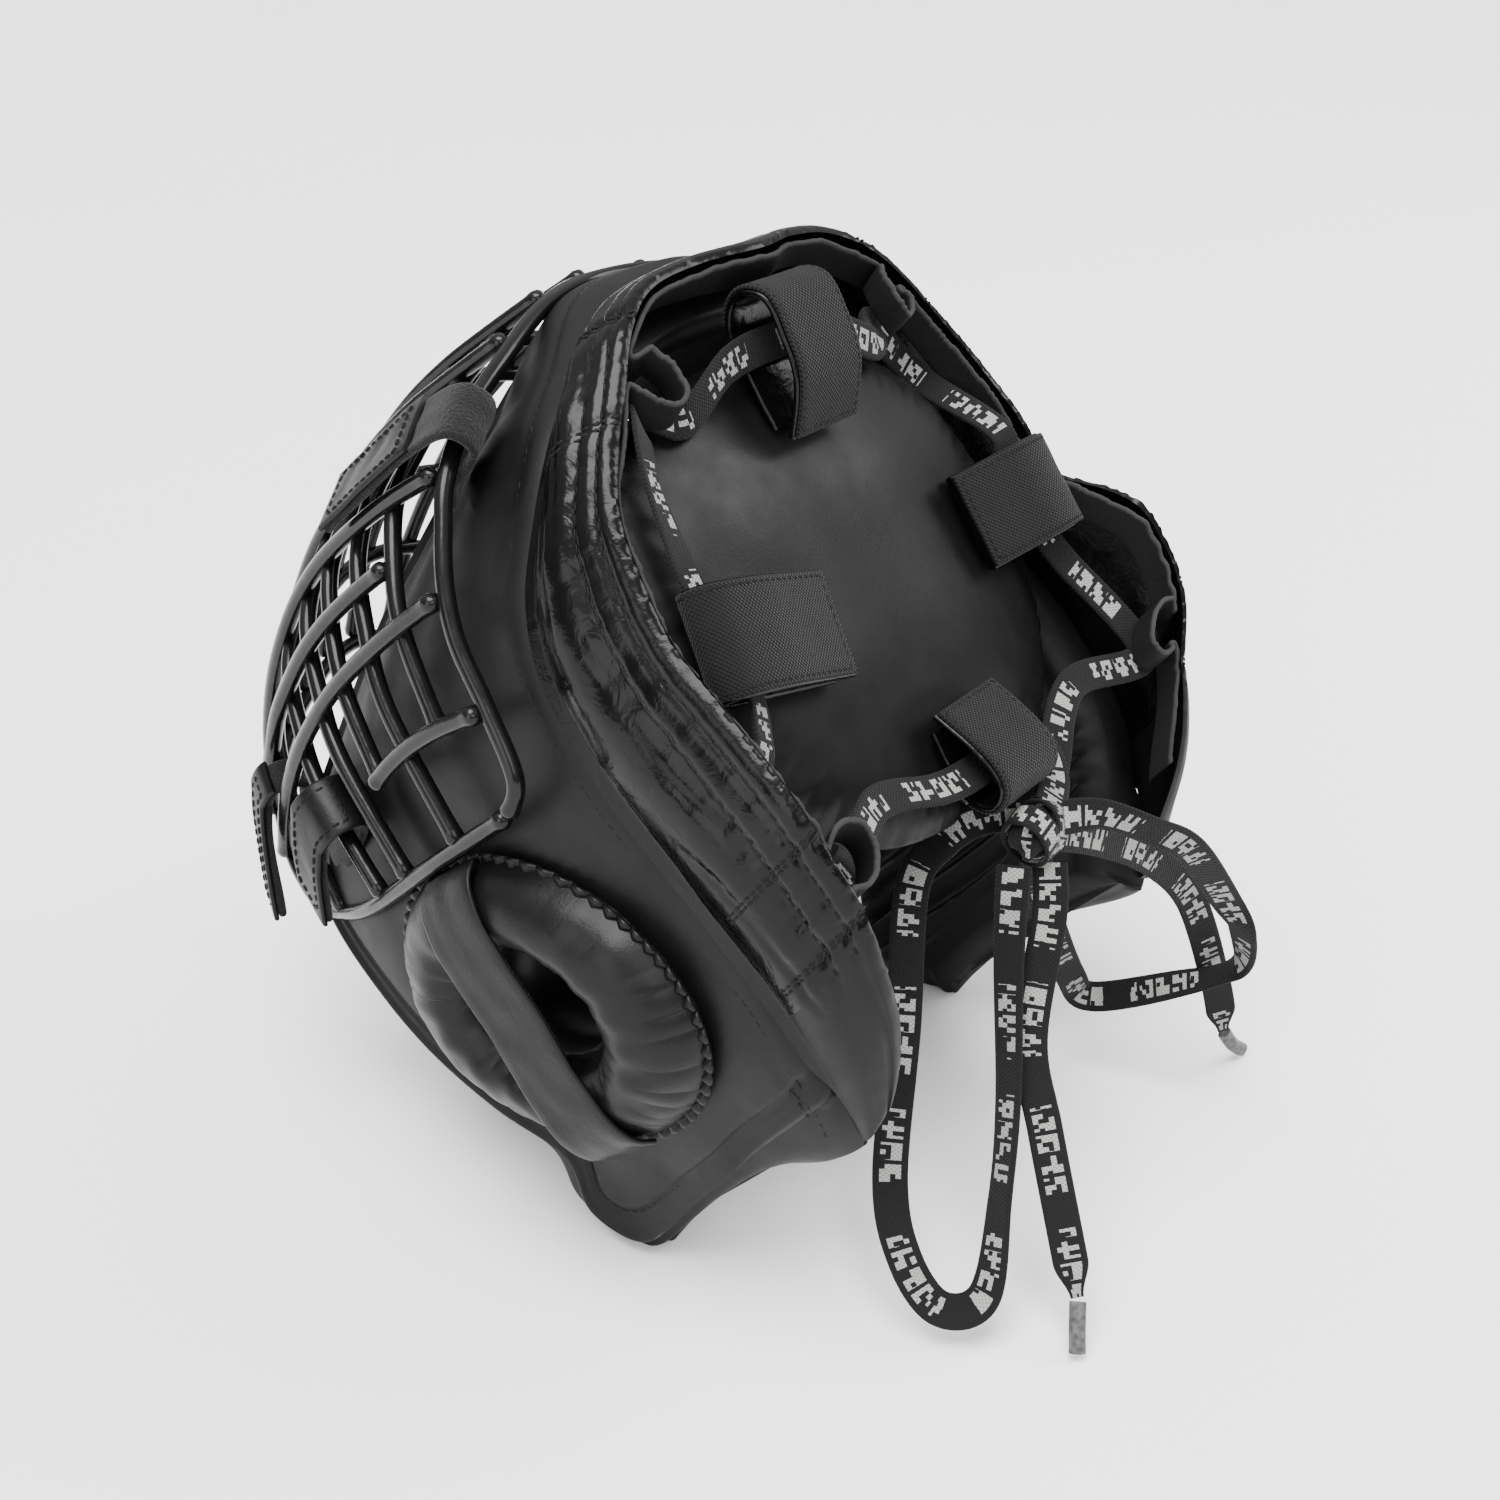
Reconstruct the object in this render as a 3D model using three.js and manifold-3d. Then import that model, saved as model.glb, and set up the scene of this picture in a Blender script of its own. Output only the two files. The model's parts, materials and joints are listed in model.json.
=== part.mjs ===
// Boxing headgear with a wire face grille, standing on its rear flaps and its chin strap.
// Millimetres, +Z up, the face towards -Y and the wearer's left towards +X.
import * as THREE from 'three';
import { mergeVertices } from 'three/addons/utils/BufferGeometryUtils.js';
import Module from 'manifold-3d';

const wasm = await Module();
wasm.setup();

// How it stands. Shapes are worked out in the wearer's axes, left, forward and up, from the point midway
// between the ears, and the whole is then leaned back on to the floor.
const LEAN = THREE.MathUtils.degToRad(36.93);
const EAR_HEIGHT = 96.9;
const FOOTPRINT_SHIFT = 35;

// Padded wall
const WALL_MIDDLE = 10;
const SEAT_GAP = 0.35;
const BAND_THICKNESS = 3;
const BAND_PUFF = 3;
const STRIP_THICKNESS = 1.6;
const STRIP_HEIGHT = 10;
const STRIP_STAND_OFF = 4.2;
const FLAP_BOW = -0.21;
const FLAP_BOW_FROM = 12;
const FLAP_FLARE = 6;
const FLAP_FLARE_FROM = 13.8;
const FOREHEAD_SWELL = 13;
const FOREHEAD_SWELL_FROM = 0.5;
const FOREHEAD_SWELL_END = 2.9;
const EAR_FORWARD = -12;
const EAR_UP = -9;
const EAR_RING_LONG = 50;
const EAR_RING_SHORT = 39;
const EAR_RING_TURN = THREE.MathUtils.degToRad(-50);
const EAR_RING_HEIGHT = 12;
const EAR_RING_INNER = 0.44;
const EAR_HOLE_SHARE = 0.4;
const EAR_GATHERS = 15;
const EAR_STRAP_WIDTH = 22;
const EAR_STRAP_ANGLE = THREE.MathUtils.degToRad(15);

// Crown
const PAD_CENTRE = { forward: 18, up: 78 };
const PAD_SLOPE = THREE.MathUtils.degToRad(18.5);
const PAD_HALF_WIDTH = 72;
const PAD_HALF_LENGTH = 66;
const TAB_WIDTH = 28;
const TAB_THICKNESS = 2.6;

// Grille
const WIRE_RADIUS = 2.1;
const WIRE_SIDES = 5;
const WIRE_LAYER = 2.4;
const GRILLE_MIDDLE = 25;
const GRIP_THICKNESS = 2.4;

// Chin strap
const CHIN_STRAP_WIDTH = 24;
const CHIN_STRAP_THICKNESS = 2.7;
const CHIN_STRAP_BACK = -59;
const CHIN_STRAP_FLAT = 20;

// Free lace ends
const CORD_RADIUS = 1.8;
const CORD_SIDES = 8;
const TIP_RADIUS = 2.1;
const KNOT = new THREE.Vector3(2, 88, 114.5);
const KNOT_RADII = new THREE.Vector3(8.5, 6.5, 7.5);

const COLOURS = {
  leather: { color: 0x17181a, roughness: 0.5, metalness: 0 },
  glossLeather: { color: 0x0e0f10, roughness: 0.25, metalness: 0 },
  strip: { color: 0x8a8c8b, roughness: 0.8, metalness: 0 },
  webbing: { color: 0x1b1c1d, roughness: 0.9, metalness: 0 },
  wire: { color: 0x0b0b0c, roughness: 0.2, metalness: 0 },
  lace: { color: 0x141414, roughness: 0.85, metalness: 0 },
  tip: { color: 0x3a3a3a, roughness: 0.3, metalness: 0 },
};

// Plan of the padded wall from the middle of the forehead to the rear edge, as shares of the half width
// and of the reach ahead of, or behind, its middle.
const PLAN = [
  { across: 0.0, ahead: 1.0 },
  { across: 0.3, ahead: 0.975 },
  { across: 0.57, ahead: 0.89 },
  { across: 0.79, ahead: 0.72 },
  { across: 0.93, ahead: 0.46 },
  { across: 0.99, ahead: 0.13 },
  { across: 1.0, ahead: -0.22 },
  { across: 0.97, ahead: -0.54 },
  { across: 0.9, ahead: -0.8 },
  { across: 0.77, ahead: -1.05 },
];

// Size of that plan at heights above the ears.
const LEVELS = [
  { up: -125, halfWidth: 70, front: 84, rear: -64 },
  { up: -100, halfWidth: 83, front: 94, rear: -74 },
  { up: -70, halfWidth: 92, front: 103, rear: -85 },
  { up: -40, halfWidth: 93, front: 109, rear: -90 },
  { up: 0, halfWidth: 96, front: 113, rear: -92 },
  { up: 40, halfWidth: 97, front: 114, rear: -91 },
  { up: 70, halfWidth: 96, front: 112, rear: -88 },
  { up: 100, halfWidth: 87, front: 106, rear: -78 },
  { up: 125, halfWidth: 72, front: 97, rear: -60 },
];

// Edges of the wall, station by station from the forehead to the rear edge: its top seam and its hem as
// places on the plan and heights, then how far the crown band rises from the seam and leans out, and the
// thickness of the padding.
const STATIONS = [
  { seamPlan: 0.0, seamUp: 98, hemPlan: 0.0, hemUp: 50, bandRise: 27, bandLean: -10, wall: 16 },
  { seamPlan: 0.8, seamUp: 98, hemPlan: 0.7, hemUp: 49, bandRise: 22.5, bandLean: -5, wall: 16 },
  { seamPlan: 1.5, seamUp: 97, hemPlan: 1.3, hemUp: 46, bandRise: 21, bandLean: -2, wall: 16 },
  { seamPlan: 2.2, seamUp: 96, hemPlan: 1.85, hemUp: 38, bandRise: 20, bandLean: -3, wall: 16 },
  { seamPlan: 2.9, seamUp: 92, hemPlan: 2.25, hemUp: 15, bandRise: 19, bandLean: -6, wall: 16 },
  { seamPlan: 3.5, seamUp: 83, hemPlan: 2.4, hemUp: -20, bandRise: 22, bandLean: -7, wall: 16 },
  { seamPlan: 4.0, seamUp: 72, hemPlan: 2.5, hemUp: -55, bandRise: 28, bandLean: -7, wall: 17 },
  { seamPlan: 4.5, seamUp: 64, hemPlan: 2.65, hemUp: -84, bandRise: 32, bandLean: -7, wall: 18 },
  { seamPlan: 5.0, seamUp: 60, hemPlan: 3.0, hemUp: -93, bandRise: 33, bandLean: -6, wall: 19 },
  { seamPlan: 5.5, seamUp: 58, hemPlan: 3.7, hemUp: -89, bandRise: 36, bandLean: -5, wall: 20 },
  { seamPlan: 6.0, seamUp: 57, hemPlan: 4.5, hemUp: -85, bandRise: 38, bandLean: -3, wall: 20 },
  { seamPlan: 6.4, seamUp: 55, hemPlan: 5.4, hemUp: -80, bandRise: 40, bandLean: -1, wall: 20 },
  { seamPlan: 6.8, seamUp: 53, hemPlan: 6.2, hemUp: -73, bandRise: 37, bandLean: -2, wall: 20 },
  { seamPlan: 7.2, seamUp: 50, hemPlan: 6.95, hemUp: -66, bandRise: 34, bandLean: -4, wall: 20 },
  { seamPlan: 7.65, seamUp: 45, hemPlan: 7.6, hemUp: -77, bandRise: 31, bandLean: -4, wall: 20 },
  { seamPlan: 8.15, seamUp: 37, hemPlan: 8.2, hemUp: -73, bandRise: 27, bandLean: -4, wall: 20 },
  { seamPlan: 8.75, seamUp: 22, hemPlan: 8.42, hemUp: -64, bandRise: 19, bandLean: -4, wall: 18 },
];
const LAST_STATION = STATIONS.length - 1;

// Cross-section of the padded wall: share of the way from hem to seam, and depth below the cover as a
// share of the thickness.
const WALL_SECTION = [
  { rise: 0.0, depth: 0.25 },
  { rise: 0.03, depth: 0.05 },
  { rise: 0.5, depth: -0.1 },
  { rise: 0.97, depth: 0.05 },
  { rise: 1.0, depth: 0.25 },
  { rise: 1.0, depth: 0.7 },
  { rise: 0.95, depth: 1.0 },
  { rise: 0.5, depth: 0.95 },
  { rise: 0.05, depth: 1.0 },
  { rise: 0.0, depth: 0.7 },
];

// Loops of the lace strip: station, how far the strip stands in, half its width and how far it is pushed over.
const LACE_LOOPS = [
  { station: 3.5, inward: 13, halfWidth: 6, skew: 1.5 },
  { station: 12.4, inward: 11, halfWidth: 6, skew: -1 },
];

// Plan of the grille from the nose line to its rear wire, and its size at heights above the ears.
const GRILLE_PLAN = [
  { across: 0.0, ahead: 1.0 },
  { across: 0.2, ahead: 0.97 },
  { across: 0.4, ahead: 0.89 },
  { across: 0.6, ahead: 0.79 },
  { across: 0.76, ahead: 0.68 },
  { across: 0.87, ahead: 0.52 },
  { across: 0.95, ahead: 0.32 },
  { across: 1.0, ahead: -0.02 },
];
const GRILLE_LEVELS = [
  { up: -100, halfWidth: 80, front: 132 },
  { up: -70, halfWidth: 89, front: 142 },
  { up: -40, halfWidth: 98, front: 148 },
  { up: 0, halfWidth: 104, front: 150 },
  { up: 40, halfWidth: 106, front: 142 },
  { up: 85, halfWidth: 105, front: 127 },
];

// Rim wires of the grille, as heights along its plan.
const BROW_WIRE = [
  { plan: 0.0, up: 77 },
  { plan: 1.2, up: 80 },
  { plan: 2.4, up: 79 },
  { plan: 3.4, up: 75 },
  { plan: 4.3, up: 70 },
  { plan: 4.9, up: 65 },
  { plan: 5.54, up: 59 },
  { plan: 6.04, up: 54 },
  { plan: 6.45, up: 50 },
  { plan: 6.85, up: 44 },
  { plan: 7.0, up: 34 },
];
const JAW_WIRE = [
  { plan: 0.0, up: -93 },
  { plan: 1.8, up: -93 },
  { plan: 3.6, up: -92 },
  { plan: 5.0, up: -90 },
  { plan: 5.7, up: -88 },
  { plan: 6.1, up: -82 },
  { plan: 6.3, up: -70 },
  { plan: 6.5, up: -48 },
  { plan: 6.7, up: -9 },
  { plan: 6.82, up: 12 },
  { plan: 7.0, up: 34 },
];

// Cross wires, each running from side to side: heights at the nose line and at its end, and the end's place.
const CROSS_WIRES = [
  { middleUp: 59, endUp: 31, endPlan: 6.33 },
  { middleUp: 38, endUp: 11, endPlan: 6.81 },
  { middleUp: 18, endUp: -2, endPlan: 6.22 },
  { middleUp: -3, endUp: -18, endPlan: 6.65 },
  { middleUp: -28, endUp: -36, endPlan: 6.56 },
  { middleUp: -60, endUp: -68, endPlan: 6.32 },
];

// Upright wires on each side: place at the top and at the bottom, and their top and bottom heights.
const UPRIGHT_WIRES = [
  { topPlan: 6.45, topUp: 49.5, bottomPlan: 6.22, bottomUp: -2 },
  { topPlan: 5.65, topUp: 57.5, bottomPlan: 5.17, bottomUp: -90 },
  { topPlan: 4.85, topUp: 43, bottomPlan: 4.43, bottomUp: -91 },
  { topPlan: 4.25, topUp: 69.5, bottomPlan: 3.5, bottomUp: -92 },
  { topPlan: 3.1, topUp: 75.5, bottomPlan: 2.6, bottomUp: -92 },
  { topPlan: 2.05, topUp: 78.5, bottomPlan: 1.75, bottomUp: -93 },
  { topPlan: 1.0, topUp: 78.5, bottomPlan: 0.85, bottomUp: -93 },
];

// Straps that hold the grille: the wire each grips by its place, how far the strap slants back for each
// millimetre down, its length and width, the slack in its fold, and where its root layer ends along it and
// in from the wire.
const GRIPS = [
  { name: 'brow', plan: 3.66, up: 73.5, skew: 0, length: 46, width: 19, slack: 3.2, rootAlong: 13, rootIn: 9.5 },
  { name: 'cheek', plan: 6.0, up: -35, skew: 0.6, length: 20, width: 15, slack: 3, rootAlong: 28, rootIn: 6.7 },
  { name: 'jaw', plan: 4.87, up: -65, skew: 0.76, length: 28, width: 9.5, slack: 3, rootAlong: 20, rootIn: 8.5 },
];

// Routes of the bow's loops and of the lace ends from the knot: across, back of the ears and up from the floor.
const BOW_ROUTES = {
  bow_loop_left: [
    [-3.1, 81.2, 116], [4, 72.5, 114.5], [13, 67.5, 110], [24, 65.5, 101], [41, 74.6, 70], [60, 83.9, 38.5],
    [66.7, 93.3, 21.9], [66.5, 104, 11.5], [59, 112.3, 14.7], [45.8, 108, 34.4], [33.2, 101.9, 55.3],
    [19, 92, 86], [10.1, 87, 108.2],
  ],
  bow_loop_right: [
    [-2.5, 93.8, 119], [-10, 101, 118.8], [-21.1, 109.6, 112.2], [-32.9, 116.3, 103.1], [-53.7, 119.7, 78.8],
    [-61.3, 123, 65.8], [-72.4, 118.2, 46.4], [-69, 102, 36], [-64, 78, 25], [-52.4, 75.6, 37.9],
    [-27.3, 78.2, 73.7], [-16, 80.5, 92], [-7.5, 83.5, 107],
  ],
  lace_end_left: [
    [2, 93, 107.5], [8, 97, 95], [22.7, 101.5, 67.6], [30.6, 111.6, 48.6], [41.4, 126.7, 21.3], [44.5, 131, 13.4],
  ],
  lace_end_right: [
    [-5.8, 90.7, 111.8], [-25.3, 95, 102.1], [-45.8, 100.5, 88.5], [-64.5, 105.5, 68.5], [-79.9, 109.8, 34.8],
    [-86.1, 112, 14.1],
  ],
};
const LACE_TIPS = {
  lace_tip_left: [[44.8, 131.4, 12.6], [48.5, 133.6, 7.5], [51.1, 135.4, 2.3]],
  lace_tip_right: [[-86.5, 112.2, 13.2], [-91, 113.6, 7], [-96.5, 115, 2.3]],
};

// A point in the wearer's axes.
function wear(left, forward, up) {
  return new THREE.Vector3(left, -forward, up);
}

// Smooth reading of one column of a table at a fractional row. Parity mirrors the rows before the first:
// 1 keeps the value, -1 turns its sign and 0 repeats the first row.
function readAt(rows, column, at, parity = 0) {
  const t = THREE.MathUtils.clamp(at, 0, rows.length - 1);
  const row = Math.min(Math.floor(t), rows.length - 2);
  const w = t - row;
  const b = rows[row][column];
  const c = rows[row + 1][column];
  const mirrored = parity === 0 ? b : parity * c;
  const a = row > 0 ? rows[row - 1][column] : mirrored;
  const d = row + 2 < rows.length ? rows[row + 2][column] : c;
  const tangentB = (c - a) / 2;
  const tangentC = (d - b) / 2;
  const w2 = w * w;
  const w3 = w2 * w;
  return b * (2 * w3 - 3 * w2 + 1) + tangentB * (w3 - 2 * w2 + w) + c * (3 * w2 - 2 * w3) + tangentC * (w3 - w2);
}

// Fractional row of a table whose column rises steadily.
function rowOf(rows, column, value) {
  let row = 0;
  while (row < rows.length - 2 && rows[row + 1][column] < value) {
    row += 1;
  }
  const low = rows[row][column];
  const high = rows[row + 1][column];
  return row + THREE.MathUtils.clamp((value - low) / (high - low), 0, 1);
}

// A point of the wall's cover at a place on the plan and a height, sunk by a depth.
function wallPoint(plan, up, depth = 0) {
  const level = rowOf(LEVELS, 'up', up);
  const halfWidth = readAt(LEVELS, 'halfWidth', level) - depth;
  const front = readAt(LEVELS, 'front', level) - depth;
  const rear = readAt(LEVELS, 'rear', level) + depth;
  const across = Math.sign(plan) * readAt(PLAN, 'across', Math.abs(plan), -1);
  const ahead = readAt(PLAN, 'ahead', Math.abs(plan), 1);
  const reach = ahead >= 0 ? front - WALL_MIDDLE : WALL_MIDDLE - rear;
  return wear(halfWidth * across, WALL_MIDDLE + reach * ahead, up);
}

// Level direction out of the wall at a place on the plan.
function wallOutward(plan, up) {
  const step = 0.05;
  const before = wallPoint(plan - step, up);
  const after = wallPoint(plan + step, up);
  return new THREE.Vector3(after.y - before.y, before.x - after.x, 0).normalize();
}

// The left cover's distance from the middle at a place seen from the side, by halving the plan.
function sidePoint(forward, up, proud = 0) {
  let near = 3;
  let far = 9;
  while (far - near > 0.001) {
    const middle = (near + far) / 2;
    if (-wallPoint(middle, up).y > forward) {
      near = middle;
    } else {
      far = middle;
    }
  }
  const point = wallPoint(near, up, -2);
  return point.add(wallOutward(near, up).multiplyScalar(proud));
}

// Leather that would reach below the floor is pressed flat on it.
function settle(point) {
  const forwardShare = Math.sin(LEAN);
  const upShare = Math.cos(LEAN);
  const height = forwardShare * -point.y + upShare * point.z + EAR_HEIGHT;
  if (height < 0) {
    point.y += forwardShare * height;
    point.z -= upShare * height;
  }
  return point;
}

// A closed solid through rings of points, with flat fans at its ends or its last ring joined to its first.
function loft(rings, joined = false) {
  const sides = rings[0].length;
  const positions = rings.flat().flatMap((point) => [point.x, point.y, point.z]);
  const faces = [];
  const bands = joined ? rings.length : rings.length - 1;
  for (let r = 0; r < bands; r += 1) {
    const next = (r + 1) % rings.length;
    for (let s = 0; s < sides; s += 1) {
      const side = (s + 1) % sides;
      const a = r * sides + s;
      const b = r * sides + side;
      const c = next * sides + side;
      const d = next * sides + s;
      faces.push(a, b, c, a, c, d);
    }
  }
  if (!joined) {
    for (const [ring, turn] of [[0, -1], [rings.length - 1, 1]]) {
      const middle = rings[ring].reduce((sum, point) => sum.add(point), new THREE.Vector3()).divideScalar(sides);
      const hub = positions.length / 3;
      positions.push(middle.x, middle.y, middle.z);
      for (let s = 0; s < sides; s += 1) {
        const a = ring * sides + s;
        const b = ring * sides + (s + 1) % sides;
        faces.push(...(turn > 0 ? [a, b, hub] : [b, a, hub]));
      }
    }
  }
  return facingOut(positions, faces);
}

// A geometry from points and triangles, turned so that its faces point out.
function facingOut(positions, faces) {
  const corner = (index) => new THREE.Vector3().fromArray(positions, index * 3);
  let volume = 0;
  for (let f = 0; f < faces.length; f += 3) {
    volume += corner(faces[f]).dot(corner(faces[f + 1]).cross(corner(faces[f + 2])));
  }
  const turned = volume < 0 ? faces.slice().reverse() : faces;
  const geometry = new THREE.BufferGeometry();
  geometry.setAttribute('position', new THREE.Float32BufferAttribute(positions, 3));
  geometry.setIndex(turned);
  return geometry;
}

// A three.js geometry as a solid that can be joined and cut.
function toSolid(geometry) {
  const bare = geometry.clone();
  bare.deleteAttribute('normal');
  bare.deleteAttribute('uv');
  const merged = mergeVertices(bare, 1e-4);
  return new wasm.Manifold(new wasm.Mesh({
    numProp: 3,
    vertProperties: new Float32Array(merged.attributes.position.array),
    triVerts: new Uint32Array(merged.index.array),
  }));
}

function fromSolid(solid) {
  const mesh = solid.getMesh();
  const geometry = new THREE.BufferGeometry();
  geometry.setAttribute('position', new THREE.BufferAttribute(new Float32Array(mesh.vertProperties), 3));
  geometry.setIndex(new THREE.BufferAttribute(new Uint32Array(mesh.triVerts), 1));
  return geometry;
}

// Flat strap seen from its edge: a path of points given its thickness, drawn out to its width about the
// middle, its outer layer slanted sideways, and set with its path's axes along the given directions.
function strap(path, thickness, width, origin, alongAxis, outAxis, skew = 0) {
  const left = [];
  const right = [];
  for (let i = 0; i < path.length; i += 1) {
    const before = path[Math.max(i - 1, 0)];
    const after = path[Math.min(i + 1, path.length - 1)];
    const direction = after.clone().sub(before).normalize();
    const side = new THREE.Vector2(-direction.y, direction.x).multiplyScalar(thickness / 2);
    left.push(path[i].clone().add(side));
    right.unshift(path[i].clone().sub(side));
  }
  const shape = new THREE.Shape([...left, ...right]);
  const geometry = new THREE.ExtrudeGeometry(shape, { depth: width, bevelEnabled: false, steps: 1 });
  geometry.translate(0, 0, -width / 2);
  const corners = geometry.attributes.position;
  for (let i = 0; i < corners.count; i += 1) {
    const beyond = corners.getY(i) > 0 ? Math.max(corners.getX(i), 0) : 0;
    corners.setZ(i, corners.getZ(i) + skew * beyond);
  }
  const acrossAxis = new THREE.Vector3().crossVectors(alongAxis, outAxis).normalize();
  const squareOut = new THREE.Vector3().crossVectors(acrossAxis, alongAxis).normalize();
  const place = new THREE.Matrix4().makeBasis(alongAxis.clone().normalize(), squareOut, acrossAxis);
  place.setPosition(origin);
  geometry.applyMatrix4(place);
  return geometry;
}

// Smooth path through a few points of a strap's edge view.
function bend(points, steps) {
  return new THREE.SplineCurve(points.map(([along, out]) => new THREE.Vector2(along, out))).getPoints(steps);
}

// Places on the stations of one side or the other.
function stationAt(t) {
  const s = Math.abs(t);
  const side = t < 0 ? -1 : 1;
  return {
    seamPlan: side * readAt(STATIONS, 'seamPlan', s, -1),
    seamUp: readAt(STATIONS, 'seamUp', s, 1),
    hemPlan: side * readAt(STATIONS, 'hemPlan', s, -1),
    hemUp: readAt(STATIONS, 'hemUp', s, 1),
    bandRise: readAt(STATIONS, 'bandRise', s, 1),
    bandLean: readAt(STATIONS, 'bandLean', s, 1),
    wall: readAt(STATIONS, 'wall', s, 1),
  };
}

// Station numbers from the right rear edge round the forehead to the left one.
function stationSteps(perRow) {
  const steps = [];
  for (let i = -LAST_STATION * perRow; i <= LAST_STATION * perRow; i += 1) {
    steps.push(i / perRow);
  }
  return steps;
}

// Padded wall: its cross-section carried round the head, with rounded rear edges and the ear holes cut.
// The rear edges are a little hollow, and the flaps' lower corners flare to the sides.
// The forehead's padding swells below its seam and dies out by the temples.
function makeShell() {
  const steps = stationSteps(2);
  const endTurn = 0.5;
  const rings = [steps[0], ...steps, steps[steps.length - 1]].map((t, index, all) => {
    const station = stationAt(t);
    const last = index === 0 || index === all.length - 1;
    const bow = Math.sign(t) * FLAP_BOW * THREE.MathUtils.smoothstep(Math.abs(t), FLAP_BOW_FROM, LAST_STATION);
    const flare = FLAP_FLARE * THREE.MathUtils.smoothstep(Math.abs(t), FLAP_FLARE_FROM, LAST_STATION);
    const fade = THREE.MathUtils.smoothstep(Math.abs(t), FOREHEAD_SWELL_FROM, FOREHEAD_SWELL_END);
    const swell = FOREHEAD_SWELL * (1 - fade);
    return WALL_SECTION.map(({ rise, depth }) => {
      const straight = THREE.MathUtils.lerp(station.hemPlan, station.seamPlan, rise);
      const plan = straight + bow * 4 * rise * (1 - rise);
      const up = THREE.MathUtils.lerp(station.hemUp, station.seamUp, rise);
      const turned = last ? 0.5 + (depth - 0.5) * endTurn : depth;
      const onward = last ? Math.sign(t) * 0.1 : 0;
      const padding = swell * (1 - depth) * 2 * rise * Math.sqrt(1 - rise ** 2);
      const proud = flare * (1 - rise) ** 3 + padding;
      return settle(wallPoint(plan + onward, up, turned * station.wall - proud));
    });
  });
  let solid = toSolid(loft(rings));
  for (const side of [-1, 1]) {
    const cover = sidePoint(EAR_FORWARD, EAR_UP);
    const borer = new THREE.CylinderGeometry(1, 1, 60, 18);
    borer.scale(EAR_HOLE_SHARE * EAR_RING_SHORT, 1, EAR_HOLE_SHARE * EAR_RING_LONG);
    borer.rotateZ(Math.PI / 2);
    borer.rotateX(Math.PI / 2 - EAR_RING_TURN);
    borer.translate(side * cover.x, cover.y, cover.z);
    solid = solid.subtract(toSolid(borer));
  }
  return fromSolid(solid);
}

// A point of the crown band: share of its height, and depth below its outer face.
function bandPoint(t, share, depth) {
  const station = stationAt(t);
  const foot = wallPoint(station.seamPlan, station.seamUp + SEAT_GAP, 1);
  const outward = wallOutward(station.seamPlan, station.seamUp);
  const proud = station.bandLean * share + BAND_PUFF * Math.sin(Math.PI * share) - depth;
  return foot.add(outward.multiplyScalar(proud)).add(new THREE.Vector3(0, 0, station.bandRise * share));
}

function makeBand() {
  const section = [
    [0, 0.3], [0.45, 0], [0.95, 0], [1, 1.2], [0.97, BAND_THICKNESS], [0.5, BAND_THICKNESS], [0, BAND_THICKNESS],
  ];
  return loft(stationSteps(2).map((t) => section.map(([share, depth]) => bandPoint(t, share, depth))));
}

// Lace strip: a thin upright strip inside the rim whose path bulges inwards at each loop.
function makeLaceStrip() {
  const bumps = [];
  for (const loop of LACE_LOOPS) {
    bumps.push(loop, { ...loop, station: -loop.station, skew: -loop.skew });
  }
  const path = [];
  const clear = 0.8;
  for (const t of stationSteps(1)) {
    if (Math.abs(t) <= LAST_STATION - 1 && bumps.every((bump) => Math.abs(t - bump.station) > clear)) {
      path.push({ t, inward: 0 });
    }
  }
  for (const bump of bumps) {
    const speed = bandPoint(bump.station + 0.2, 1, 0).distanceTo(bandPoint(bump.station - 0.2, 1, 0)) / 0.4;
    for (let k = -4; k <= 4; k += 1) {
      const turn = (k / 4) * Math.PI * 0.75;
      const along = bump.halfWidth * 1.25 * Math.sin(turn) + bump.skew * (1 + Math.cos(turn));
      const inward = bump.inward * (0.414 + Math.cos(turn) * 0.586);
      path.push({ t: bump.station + along / speed, inward: Math.max(inward, 0), order: bump.station + k * 0.01 });
    }
  }
  path.sort((a, b) => (a.order ?? a.t) - (b.order ?? b.t));
  const line = path.map(({ t, inward }) => bandPoint(t, 1, STRIP_STAND_OFF + inward));
  const rings = line.map((point, i) => {
    const before = line[Math.max(i - 1, 0)];
    const after = line[Math.min(i + 1, line.length - 1)];
    const side = new THREE.Vector3(after.y - before.y, before.x - after.x, 0).setLength(STRIP_THICKNESS / 2);
    const top = point.clone().add(new THREE.Vector3(0, 0, 0.5));
    const foot = top.clone().add(new THREE.Vector3(0, 0, -STRIP_HEIGHT));
    return [top.clone().add(side), top.clone().sub(side), foot.clone().sub(side), foot.clone().add(side)];
  });
  return loft(rings);
}

// Axes of the crown pad, which slopes down to the back.
const PAD_AHEAD = wear(0, Math.cos(PAD_SLOPE), Math.sin(PAD_SLOPE));
const PAD_OUT = wear(0, -Math.sin(PAD_SLOPE), Math.cos(PAD_SLOPE));
const PAD_LEFT = wear(1, 0, 0);

// A point over the crown pad: to the left, ahead and out of its middle plane.
function padPoint(left, ahead, out) {
  return wear(0, PAD_CENTRE.forward, PAD_CENTRE.up)
    .addScaledVector(PAD_LEFT, left)
    .addScaledVector(PAD_AHEAD, ahead)
    .addScaledVector(PAD_OUT, out);
}

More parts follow.
